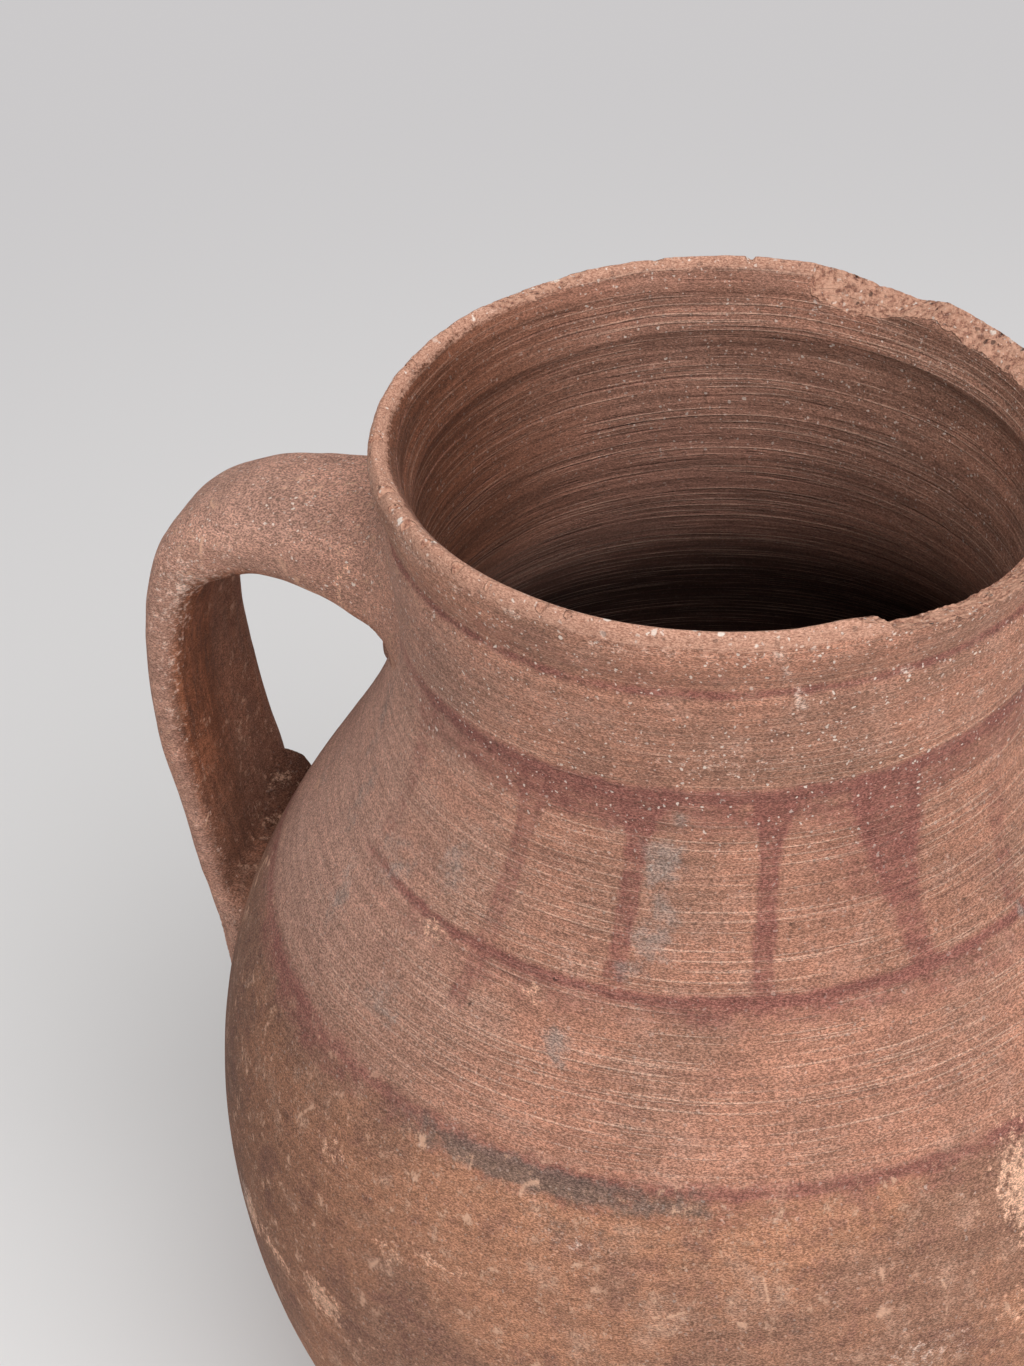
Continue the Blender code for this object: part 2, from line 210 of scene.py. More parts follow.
@dataclass(frozen=True)
class VesselShape:
    """Outside and inside of the turned wall, as in the solids, by height."""

    belly_height: float = 0.1662
    shoulder_rise: float = 0.1848
    neck_rise: float = 0.0290
    collar_depth: float = 0.0200
    base_radius: float = 0.0730
    belly_radius: float = 0.1544
    neck_radius: float = 0.0885
    belly_pull: float = 0.0955
    neck_pull: float = 0.0716
    collar_flare: float = 0.0015
    crease_depth: float = 0.0011
    crease_half_width: float = 0.0030
    lip_radius: float = 0.0923
    lip_thickness: float = 0.0088
    lip_rise: float = 0.0058
    body_wall: float = 0.0082
    neck_wall: float = 0.0074
    floor_thickness: float = 0.0100
    lap_height: float = 0.0060
    foot_step: float = 0.0055
    body_join_rise: float = 0.0818
    neck_join_drop: float = 0.0070
    ogee_steps: int = 800
    slope_reach: float = 0.0039

    @property
    def neck_waist(self) -> float:
        """Height of the narrowest ring of the neck."""
        return self.belly_height + self.shoulder_rise

    @property
    def collar_join(self) -> float:
        """Height of the join between neck and collar."""
        return self.neck_waist + self.neck_rise

    @property
    def body_join(self) -> float:
        """Height of the join between lower body and shoulder."""
        return self.belly_height + self.body_join_rise

    @property
    def neck_join(self) -> float:
        """Height of the join between shoulder and neck."""
        return self.neck_waist - self.neck_join_drop

    @property
    def top(self) -> float:
        """Height of the lip."""
        return self.collar_join + self.collar_depth

    @property
    def lip_centre_height(self) -> float:
        """Height at which the lip is thickest."""
        return self.top - self.lip_rise

    def ogee(self, height: Array) -> Array:
        """Radius of the S-shaped curve from the belly to the neck's waist."""
        share = np.linspace(0.0, 1.0, self.ogee_steps)
        rest = 1.0 - share
        weights = (rest ** 3, 3 * rest ** 2 * share, 3 * rest * share ** 2, share ** 3)
        heights = (self.belly_height, self.belly_height + self.belly_pull,
                   self.neck_waist - self.neck_pull, self.neck_waist)
        radii = (self.belly_radius, self.belly_radius, self.neck_radius, self.neck_radius)
        curve_height = sum(weight * z for weight, z in zip(weights, heights))
        curve_radius = sum(weight * radius for weight, radius in zip(weights, radii))
        return np.interp(height, curve_height, curve_radius)

    def outer(self, height: Array) -> Array:
        """Radius of the outside below the lip's roll."""
        height = np.asarray(height, dtype=float)
        base_share = self.base_radius / self.belly_radius
        half_height = self.belly_height / math.sqrt(1.0 - base_share ** 2)
        drop = np.clip((self.belly_height - height) / half_height, -1.0, 1.0)
        belly = self.belly_radius * np.sqrt(1.0 - drop ** 2)
        lean = self.lip_radius - self.neck_radius - self.collar_flare
        crease = np.exp(-((height - self.collar_join) / self.crease_half_width) ** 2)
        collar = (self.neck_radius + self.collar_flare * rise(height, self.neck_waist, self.neck_rise)
                  + lean * rise(height, self.collar_join, self.lip_centre_height - self.collar_join)
                  - self.crease_depth * crease)
        upper = np.where(height <= self.neck_waist, self.ogee(height), collar)
        return np.where(height <= self.belly_height, belly, upper)

    def slope(self, height: Array) -> Array:
        """Change of the outside's radius with height."""
        reach = self.slope_reach
        return (self.outer(height + reach) - self.outer(height - reach)) / (2 * reach)

    def steepness(self, height: Array) -> Array:
        """Length along the wall for each unit of height."""
        return np.sqrt(1.0 + self.slope(height) ** 2)

    def level_wall(self, height: Array) -> Array:
        """Thickness of the wall measured level."""
        height = np.asarray(height, dtype=float)
        share = rise(height, self.body_join, self.neck_join - self.body_join)
        wall = self.body_wall + (self.neck_wall - self.body_wall) * share
        return wall * self.steepness(height)

    def inner(self, height: Array) -> Array:
        """Radius of the inside."""
        return self.outer(height) - self.level_wall(height)

    def lap_face(self, join: float) -> tuple[float, float]:
        """Radii of a lap joint's face at its foot and at its head."""
        foot = float(self.outer(join) - self.level_wall(join) / 2)
        head = join + self.lap_height
        return foot, min(foot, float(self.outer(head) - self.level_wall(head) / 2))

    def distance(self, points: Array) -> Array:
        """Distance of points outside the wall, square to it."""
        off = np.hypot(points[:, 0], points[:, 1]) - self.outer(points[:, 2])
        return off / self.steepness(points[:, 2])

    def lay_under(self, points: Array) -> Array:
        """Lay the points that reach into the wall just under its outside."""
        radius = np.hypot(points[:, 0], points[:, 1])
        limit = self.outer(points[:, 2]) - WALL_SINK * self.steepness(points[:, 2])
        grow = np.where(radius < limit, limit / np.maximum(radius, MM), 1.0)
        return np.stack((points[:, 0] * grow, points[:, 1] * grow, points[:, 2]), axis=1)


SHAPE = VesselShape()


@dataclass(frozen=True)
class HandMade:
    """How far the thrown wall strays from the true turned shape, alike for every ring."""

    out_of_round: float = 0.00035
    outside_ridge: float = 0.00016
    outside_line: float = 0.00006
    outside_set_back: float = 0.00055
    inside_ridge: float = 0.00048
    inside_line: float = 0.00022
    pour_stretch: float = 0.0048
    pour_half_width: float = 75.0
    pour_foot: float = 0.312
    pour_rise: float = 0.064
    lean_noise: LatticeNoise = field(default_factory=lambda: LatticeNoise(11))
    ridge_noise: LatticeNoise = field(default_factory=lambda: LatticeNoise(23))
    line_noise: LatticeNoise = field(default_factory=lambda: LatticeNoise(37))

    def stretch(self, azimuth: Array, height: Array) -> Array:
        """Outward pull of the mouth over the side that pours, away from the handle."""
        pulled = toward(azimuth, POURING_SIDE, self.pour_half_width)
        return self.pour_stretch * pulled * rise(height, self.pour_foot, self.pour_rise)

    def lean(self, azimuth: Array, height: Array) -> Array:
        """Outward shift of the whole wall: out of round, and pulled to pour."""
        east, north = compass(azimuth)
        noise = self.lean_noise.layered(east * 1.3, north * 1.3, height / 0.055, 3)
        return self.out_of_round * noise + self.stretch(azimuth, height)

    def outside(self, azimuth: Array, height: Array) -> Array:
        """Outward shift of the outside, with faint ridges and the turned half's lines."""
        east, north = compass(azimuth)
        ridges = self.ridge_noise.layered(east * 0.7, north * 0.7, height / 0.011, 2)
        lines = self.line_noise.layered(east * 1.6, north * 1.6, height / 0.0021, 2)
        over_belly = np.exp(-((height - SHAPE.belly_height) / 0.09) ** 2)
        return (self.lean(azimuth, height) + self.outside_ridge * ridges
                + self.outside_line * (0.35 + rise(height, 0.246, 0.012)) * lines
                - self.outside_set_back * over_belly)

    def inside(self, azimuth: Array, height: Array) -> Array:
        """Outward shift of the inside, with the ridges that throwing leaves."""
        east, north = compass(azimuth)
        climb = (height + 0.0011 * np.sin(np.radians(azimuth) + 1.1)
                 + 0.0012 * self.lean_noise.at(east, north, height / 0.02))
        ridges = self.ridge_noise.layered(east * 0.55, north * 0.55, climb / 0.0052 + 40.0, 2)
        lines = self.line_noise.layered(east * 1.1, north * 1.1, climb / 0.0019 + 90.0, 2)
        fade = (0.55 + 0.45 * rise(height, 0.30, 0.05)) * (1.0 - 0.75 * rise(height, 0.383, 0.006))
        return (self.inside_ridge * ridges + self.inside_line * lines) * fade + self.lean(azimuth, height)

    def shift(self, azimuth: Array, height: Array, side: Array, worked: Array) -> Array:
        """Outward shift by side, 1 outside and 0 inside, and only the stretch where the wall isn't worked."""
        shift = side * self.outside(azimuth, height) + (1.0 - side) * self.inside(azimuth, height)
        return np.where(worked, shift, self.stretch(azimuth, height))


HAND = HandMade()


@dataclass(frozen=True)
class Blotch:
    """Soft-edged oval patch: azimuth and height of its middle, half sizes along the wall, strength."""

    azimuth: float
    height: float
    half_width: float
    half_height: float
    strength: float

    def cover(self, azimuth: Array, height: Array, radius: Array) -> Array:
        """Strength of the patch at places on the wall."""
        across = np.radians(turn_between(azimuth, self.azimuth)) * radius / self.half_width
        along = (height - self.height) / self.half_height
        return self.strength * np.exp(-(across ** 2 + along ** 2) ** 1.3)


def blotches(*rows: Row) -> tuple[Blotch, ...]:
    """Patches from rows of azimuth, then height and half sizes in millimetres, then strength."""
    return tuple(Blotch(turn, z * MM, width * MM, tall * MM, strength) for turn, z, width, tall, strength in rows)


@dataclass(frozen=True)
class Band:
    """Slip band painted on the wheel."""

    height: float
    half_width: float
    edge: float
    strength: float
    wander: float
    seed: int

    def cover(self, azimuth: Array, height: Array) -> Array:
        """Strength of the band at places on the wall."""
        east, north = compass(azimuth)
        noise, level = LatticeNoise(self.seed), np.zeros_like(east)
        drift = self.wander * noise.layered(east * 3.0, north * 3.0, level + 0.5, 3)
        away = np.abs(height - self.height - drift)
        load = 1.0 + 0.28 * noise.layered(east * 5.0, north * 5.0, level + 9.5, 2)
        return self.strength * load * smooth_step((self.half_width - away) / self.edge + 0.5)


@dataclass(frozen=True)
class Stroke:
    """Brush stroke that hangs from the neck band: azimuths of its head and foot, foot height, widths."""

    head: float
    foot: float
    foot_height: float
    head_half_width: float
    foot_half_width: float
    strength: float
    taper: float = 3.5
    edge: float = 0.0024
    head_height: float = 0.3440

    def cover(self, azimuth: Array, height: Array, radius: Array) -> Array:
        """Strength of the stroke at places on the wall."""
        share = np.clip((self.head_height - height) / (self.head_height - self.foot_height), 0.0, 1.0)
        middle = self.head + (self.foot - self.head) * share
        half = (self.foot_half_width
                + (self.head_half_width - self.foot_half_width) * smooth_step(1.0 - share * self.taper))
        across = np.abs(np.radians(turn_between(azimuth, middle))) * radius
        pooled = 0.75 + 0.35 * rise(across / half, 0.35, 0.5)
        ends = rise(height, self.foot_height, 0.005) * fall(height, self.head_height + 0.004, 0.004)
        return self.strength * pooled * ends * smooth_step((half - across) / self.edge + 0.5)


@dataclass(frozen=True)
class Decoration:
    """Slip, fire clouds, scuffs and patches of painted shade, laid out over the whole wall."""

    bands: tuple[Band, ...] = (
        Band(0.3455, 0.0026, 0.0034, 0.88, 0.0007, 51),
        Band(0.3405, 0.0060, 0.0080, 0.54, 0.0016, 56),
        Band(0.3785, 0.0011, 0.0022, 0.80, 0.0005, 57),
        Band(0.2918, 0.0014, 0.0024, 0.88, 0.0007, 52),
        Band(0.2885, 0.0046, 0.0066, 0.30, 0.0012, 53),
        Band(0.2492, 0.0022, 0.0036, 0.62, 0.0009, 54),
        Band(0.2465, 0.0052, 0.0078, 0.38, 0.0016, 55))
    strokes: tuple[Stroke, ...] = (
        Stroke(-104.2, -110.4, 0.274, 0.0050, 0.0030, 0.62),
        Stroke(-85.2, -88.2, 0.291, 0.0062, 0.0027, 0.85),
        Stroke(-63.6, -67.0, 0.291, 0.0058, 0.0027, 0.92),
        Stroke(-44.8, -42.6, 0.289, 0.0104, 0.0034, 0.92, 1.15, 0.0060),
        Stroke(-19.8, -25.4, 0.288, 0.0050, 0.0030, 0.50))
    washes: tuple[Blotch, ...] = blotches(
        (-137, 248, 30, 6, 0.40), (-50, 324, 15, 16, 0.42), (-36, 286, 16, 6, 0.36),
        (-100, 340, 26, 6, 0.40), (60, 285, 30, 6, 0.45), (110, 338, 20, 8, 0.45),
        (-98, 384.5, 64, 6, 0.34), (-30, 384, 38, 5, 0.22), (-70, 289.8, 26, 3.2, 0.62),
        (-50, 290.4, 24, 3.2, 0.62))
    smoke: tuple[Blotch, ...] = blotches(
        (-81.6, 326, 6.2, 8.5, 0.90), (-79.2, 338.5, 2.6, 2.6, 0.90), (-80.6, 314, 4.8, 7.5, 0.70),
        (-82, 305, 7.5, 6, 0.80), (-85, 298.5, 6, 4.5, 0.55), (-94.5, 277.5, 7.5, 5, 0.75),
        (-95, 246.8, 38, 3.7, 1.30), (-106, 247, 22, 5, 0.75), (-80, 246.2, 20, 5, 0.70),
        (-88, 236, 30, 6, 0.42), (-121, 267, 12, 8, 0.45), (-131, 295, 13, 10, 0.50),
        (-152, 315, 5, 17, 0.62), (-146, 296, 5, 12, 0.62), (-138, 277, 5, 11, 0.58),
        (-118, 306, 7, 13, 0.52), (-165, 280, 6, 12, 0.45), (-24.3, 291.8, 1.6, 3, 1.20),
        (-70, 218, 26, 9, 0.40), (35, 230, 50, 16, 0.55), (120, 305, 12, 24, 0.70),
        (150, 150, 35, 28, 0.50), (-10, 100, 45, 22, 0.45), (62, 135, 24, 30, 0.40))
    crusts: tuple[Blotch, ...] = blotches(
        (-64, 392.5, 2.2, 2.2, 0.90), (-63, 386.5, 1.6, 6, 0.75), (-60.3, 376, 2.4, 4, 0.85),
        (-43.1, 378.2, 2.6, 1.6, 0.75), (-27.4, 361, 1.6, 2.4, 0.95), (-16.5, 366.8, 6, 3, 0.55),
        (-73, 356, 22, 5, 0.50), (-46, 356, 16, 4, 0.45), (153, 398.5, 6, 2, 0.90),
        (143, 398.5, 7, 2.2, 0.85), (134, 398.5, 7, 2.2, 0.80), (-106, 395, 4, 2.2, 0.75),
        (-118, 394, 4, 2.2, 0.75), (-131, 393, 5, 2.2, 0.70), (-154, 395.5, 13, 2.6, 0.72),
        (-126, 394.5, 15, 2.6, 0.66), (-86, 393, 18, 2.4, 0.58), (-70, 243, 18, 2, 0.50),
        (-88, 233, 15, 5, 0.45), (-140, 164, 10, 10, 0.80), (-52, 198, 20, 8, 0.60))
    # Painted shade: patches of the outside made darker where light falls off, such as the lower left of the belly and
    # the left of the neck.
    shadows: tuple[Blotch, ...] = blotches(
        (-146, 198, 90, 56, 0.50), (-92, 110, 110, 60, 0.20), (-45, 314, 34, 29, 0.22),
        (-138, 358, 26, 20, 0.22), (125, 170, 60, 50, 0.30), (30, 90, 70, 40, 0.24))
    scuffs: tuple[Blotch, ...] = blotches(
        (-137.8, 164, 6, 8, 0.90), (-120.3, 171, 9, 7, 0.90), (-131, 166, 16, 4, 0.60),
        (-120.7, 225, 7, 4, 0.50), (-109.7, 210, 6, 4, 0.45), (-37.5, 233, 9.5, 16, 0.86),
        (-34, 200, 22, 12, 0.55), (-104, 214, 16, 2.2, 0.45), (-118, 289, 5, 3.5, 0.50),
        (-99, 287, 3, 3, 0.50), (20, 180, 15, 6, 0.70), (75, 205, 6, 14, 0.70),
        (96, 156, 18, 6, 0.80), (128, 220, 8, 8, 0.60), (-70, 90, 22, 7, 0.70),
        (10, 70, 16, 10, 0.60), (170, 100, 20, 8, 0.70))
    stroke_gap: float = 21.5
    hidden_strokes: tuple[float, float] = (1.5, 228.0)
    wiped_half_width: float = 66.0

    def all_strokes(self) -> list[Stroke]:
        """Strokes that the photo shows, and the same rhythm carried round the hidden side."""
        draw = np.random.default_rng(5)
        strokes = list(self.strokes)
        first, last = self.hidden_strokes
        count = int(round((last - first) / self.stroke_gap))
        for step in range(count + 1):
            head = first + (last - first) * step / count + draw.uniform(-2.0, 2.0)
            lean = draw.uniform(-6.0, -2.5)
            strokes.append(Stroke(head, head + lean, draw.uniform(0.284, 0.292), draw.uniform(0.0046, 0.0070),
                                  draw.uniform(0.0024, 0.0036), draw.uniform(0.45, 0.9)))
        return strokes

    def slip(self, azimuth: Array, height: Array, radius: Array) -> Array:
        """Strength of the slip at places on the outside."""
        layers = [(band.cover(azimuth, height), 0.25) for band in self.bands]
        layers += [(stroke.cover(azimuth, height, radius), 0.2) for stroke in self.all_strokes()]
        cover = np.zeros(azimuth.shape)
        for laid, doubled in layers:
            cover = np.maximum(cover, laid) + doubled * np.minimum(cover, laid)
        wash = self.strongest(self.washes, azimuth, height, radius)
        cover = cover + 0.8 * wash * (1.0 - 0.6 * np.clip(cover, 0.0, 1.0))
        off_handle = np.abs(turn_between(azimuth, HANDLE_SIDE)) / self.wiped_half_width
        wiped = 0.88 * smooth_step((1.0 - off_handle) * 1.7)
        return cover * (1.0 - wiped * rise(height, 0.272, 0.01) * fall(height, 0.352, 0.01))

    def strongest(self, patches: Iterable[Blotch], azimuth: Array, height: Array, radius: Array) -> Array:
        """Strongest of several patches at places on the outside."""
        cover = np.zeros(azimuth.shape)
        for patch in patches:
            cover = np.maximum(cover, patch.cover(azimuth, height, radius))
        return cover


DECORATION = Decoration()


def into_mesh(shape: bmesh.types.BMesh, name: str) -> bpy.types.Mesh:
    """Put a finished bmesh into a new mesh."""
    mesh = bpy.data.meshes.new(name)
    shape.to_mesh(mesh)
    shape.free()
    return mesh


def grid_mesh(name: str, x_steps: int, y_steps: int, size: float = 1.0) -> bpy.types.Mesh:
    """Flat square grid as a new mesh."""
    shape = bmesh.new()
    bmesh.ops.create_grid(shape, x_segments=x_steps, y_segments=y_steps, size=size)
    return into_mesh(shape, name)


def read_points(mesh: bpy.types.Mesh) -> Array:
    """Points of a mesh as an array with one row for each."""
    flat = np.empty(len(mesh.vertices) * 3)
    mesh.vertices.foreach_get("co", flat)
    return flat.reshape(-1, 3)


def write_points(mesh: bpy.types.Mesh, points: Array) -> None:
    """Move the points of a mesh."""
    mesh.vertices.foreach_set("co", points.ravel())
    mesh.update()


def paint(mesh: bpy.types.Mesh, traits: dict[Trait, Array]) -> None:
    """Store traits on the points of a mesh, with one value for each point."""
    for trait, values in traits.items():
        layer = mesh.attributes.new(trait.value, "FLOAT", "POINT")
        layer.data.foreach_set("value", np.clip(values, 0.0, MOST_PAINT).astype(np.float32))


def put_in_scene(name: str, data: bpy.types.ID) -> bpy.types.Object:
    """New object of a mesh, a lamp or a camera in the scene."""
    thing = bpy.data.objects.new(name, data)
    bpy.context.scene.collection.objects.link(thing)
    return thing


def finish_piece(mesh: bpy.types.Mesh, material: bpy.types.Material, slot: Slot, *nodes: str) -> bpy.types.Object:
    """Make a finished mesh a piece of the jug.

    Args:
        mesh: Mesh in its final place.
        material: Finish of the piece.
        slot: Material slot of the record that the finish stands for. Not used.
        *nodes: Solids that the piece stands for.

    Returns:
        The new object.
    """
    mesh.shade_smooth()
    mesh.set_sharp_from_angle(angle=SHARP_ANGLE)
    mesh.materials.append(material)
    piece = put_in_scene(mesh.name, mesh)
    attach(piece, BODY)
    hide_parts(*nodes)
    LOG.info("%s: %d points, %d faces", piece.name, len(mesh.vertices), len(mesh.polygons))
    return piece


def close_seams(mesh: bpy.types.Mesh) -> None:
    """Weld the seams and poles of a rolled grid and turn its faces all to one side."""
    shape = bmesh.new()
    shape.from_mesh(mesh)
    bmesh.ops.remove_doubles(shape, verts=shape.verts, dist=WELD_DISTANCE)
    bmesh.ops.recalc_face_normals(shape, faces=shape.faces)
    shape.to_mesh(mesh)
    shape.free()


@dataclass
class TurnedRing:
    """Ring of the wall between two lap joints, thrown on the wheel.

    Its outline is rows of radius, height, side and freedom: side is 1 outside, 0 inside and between them in
    the lap, and freedom is above 0 where the surface is worked.
    """

    name: str
    node: str
    slot: Slot
    low: float
    high: float
    outside_row: float
    inside_row: float
    turn_steps: int = 480
    closed: bool = True
    middle_reach: float = 0.02

    def rows(self, low: float, high: float, row: float) -> Array:
        """Heights from low to high that lie about one row apart along the wall."""
        fine = np.linspace(low, high, 400)
        run = run_along(SHAPE.outer(fine), fine)
        count = max(2, math.ceil(run[-1] / row))
        return np.interp(np.linspace(0.0, run[-1], count + 1), run, fine)

    def down_outside(self) -> list[Row]:
        """Rows of the outline from the head of the outside to its foot."""
        return [(float(SHAPE.outer(z)), z, 1.0, 1.0) for z in self.rows(self.low, self.high, self.outside_row)[::-1]]

    def up_inside(self, low: float) -> list[Row]:
        """Rows of the outline up the inside from a height, and over the tongue at its head."""
        foot, head = SHAPE.lap_face(self.high)
        tongue = self.high + SHAPE.lap_height
        rows = [(float(SHAPE.inner(z)), z, 0.0, 1.0) for z in self.rows(low, tongue, self.inside_row)]
        return rows + [(head, tongue, 0.5, 0.0), (foot, self.high, 0.5, 0.0)]

    def outline(self) -> list[Row]:
        """Closed outline, down the outside and up the inside, with a rebate below and a tongue above."""
        foot, head = SHAPE.lap_face(self.low)
        shelf = self.low + SHAPE.lap_height
        return self.down_outside() + [(foot, self.low, 0.5, 0.0), (head, shelf, 0.5, 0.0)] + self.up_inside(shelf)

    def wrap(self, count: int) -> tuple[bpy.types.Mesh, Array, Array]:
        """Roll a grid into a ring that has one row of points for each row of an outline.

        Args:
            count: Number of rows in the outline.

        Returns:
            The mesh, the place of each point in the outline, and its azimuth.
        """
        rows = count if self.closed else count - 1
        mesh = grid_mesh(self.name, self.turn_steps, rows)
        grid = read_points(mesh)
        row = np.rint((grid[:, 1] + 1.0) / 2 * rows).astype(int) % count
        step = np.rint((grid[:, 0] + 1.0) / 2 * self.turn_steps).astype(int) % self.turn_steps
        return mesh, row, step * 360.0 / self.turn_steps

    def traits(self, azimuth: Array, radius: Array, height: Array, side: Array) -> dict[Trait, Array]:
        """Traits of the wall's points.

        Args:
            azimuth: Directions in degrees.
            radius: Radii of the true shape.
            height: Heights over the ground.
            side: 1 outside, 0 inside, between them in the lap.

        Returns:
            Values of each trait that the outside and the inside have.
        """
        outside, hidden = (side > 0.75).astype(float), (side < 0.25).astype(float)

        def laid(patches: tuple[Blotch, ...]) -> Array:
            """Strongest of several patches."""
            return DECORATION.strongest(patches, azimuth, height, radius)

        turned = rise(height, 0.243, 0.02) * (1.0 - 0.5 * rise(height, 0.352, 0.008))
        smear = toward(azimuth, HANDLE_SIDE, 90.0) * rise(height, 0.236, 0.03) * fall(height, 0.384, 0.012)
        # Side of the inside wall towards the handle, where painted bounce light and painted shade go.
        bounce_glow = toward(azimuth, HANDLE_SIDE, 65.0)
        # Painted shade: the inside colour is laid on less on the lit side and more lower down.
        unlit = 1.0 - 0.50 * toward(azimuth, LIT_SIDE, 70.0)
        # Painted shade on the inside, lower down and on the handle side.
        dark = hidden * np.maximum(0.56 * bounce_glow, fall(height, 0.315, 0.042))
        return {
            Trait.TURNED: outside * turned * (1.0 - 0.8 * smear) + 0.9 * (1.0 - outside),
            Trait.SLIP: outside * DECORATION.slip(azimuth, height, radius),
            Trait.SMOKE: outside * laid(DECORATION.smoke),
            Trait.SCUFF: outside * laid(DECORATION.scuffs),
            Trait.CRUST: outside * laid(DECORATION.crusts),
            Trait.INSIDE: hidden * (0.50 + 0.38 * fall(height, 0.375, 0.07)) * unlit,
            # Painted bounce light on the inside wall by the handle.
            Trait.PAINTED_BOUNCE_LIGHT: hidden * bounce_glow * rise(height, 0.29, 0.04),
            # Painted shade inside, and the patches of painted shade outside.
            Trait.DEPTH: dark + outside * laid(DECORATION.shadows),
            Trait.WIPED: outside * smear,
        }

    def tool_marks(self, azimuth: Array, radius: Array, height: Array) -> Array:
        """Heights of the points; the plain ring has no tool marks and keeps them as they are."""
        return height

    def make(self, material: bpy.types.Material) -> bpy.types.Object:
        """Build and dress the ring."""
        outline = self.outline()
        mesh, row, azimuth = self.wrap(len(outline))
        radius, height, side, free = np.array(outline)[row].T
        height = self.tool_marks(azimuth, radius, height)
        shift = HAND.shift(azimuth, height, side, free > 0.0)
        moved = np.maximum(radius + shift * rise(radius, 0.0, self.middle_reach), 0.0)
        write_points(mesh, round_axis(azimuth, moved, height))
        paint(mesh, self.traits(azimuth, radius, height, side))
        close_seams(mesh)
        return finish_piece(mesh, material, self.slot, self.node)


@dataclass
class LowerBody(TurnedRing):
    """Lower body, whose foot laps the stepped edge of the base disc."""

    def outline(self) -> list[Row]:
        """Closed outline, down the outside and up the inside, with a tongue above."""
        floor = SHAPE.floor_thickness
        return self.down_outside() + [(float(SHAPE.inner(floor)), self.low, 0.5, 0.0)] + self.up_inside(floor)


@dataclass
class BaseDisc(TurnedRing):
    """Floor of the jug, cut from the wheel, with a step that the lower body laps."""

    closed: bool = False

    def outline(self) -> list[Row]:
        """Open outline from the middle of the floor round to the middle of the base."""
        floor, step = SHAPE.floor_thickness, SHAPE.foot_step
        step_radius = float(SHAPE.inner(floor))
        points = [(radius, floor, 0.0, 1.0) for radius in np.linspace(0.0, step_radius, 34)]
        points.append((step_radius, step, 0.5, 0.0))
        points += [(float(SHAPE.outer(z)), z, 1.0, 1.0) for z in np.linspace(step, 0.0008, 5)]
        under = (SHAPE.base_radius - 0.0010, *np.linspace(SHAPE.base_radius - 0.0030, 0.0, 30))
        return points + [(radius, 0.0, 1.0, 0.0) for radius in under]

    def tool_marks(self, azimuth: Array, radius: Array, height: Array) -> Array:
        """Heights with the spiral that the cutting wire and the throwing finger leave."""
        rings = 0.00035 * (1.0 + np.sin(radius / 0.0016 + np.radians(azimuth))) / 2
        marks = rings * fall(radius, SHAPE.base_radius - 0.006, 0.004) * rise(radius, 0.0, 0.006)
        return height + marks * (height < 0.0002) - marks * 1.6 * (height > SHAPE.floor_thickness - 0.0002)


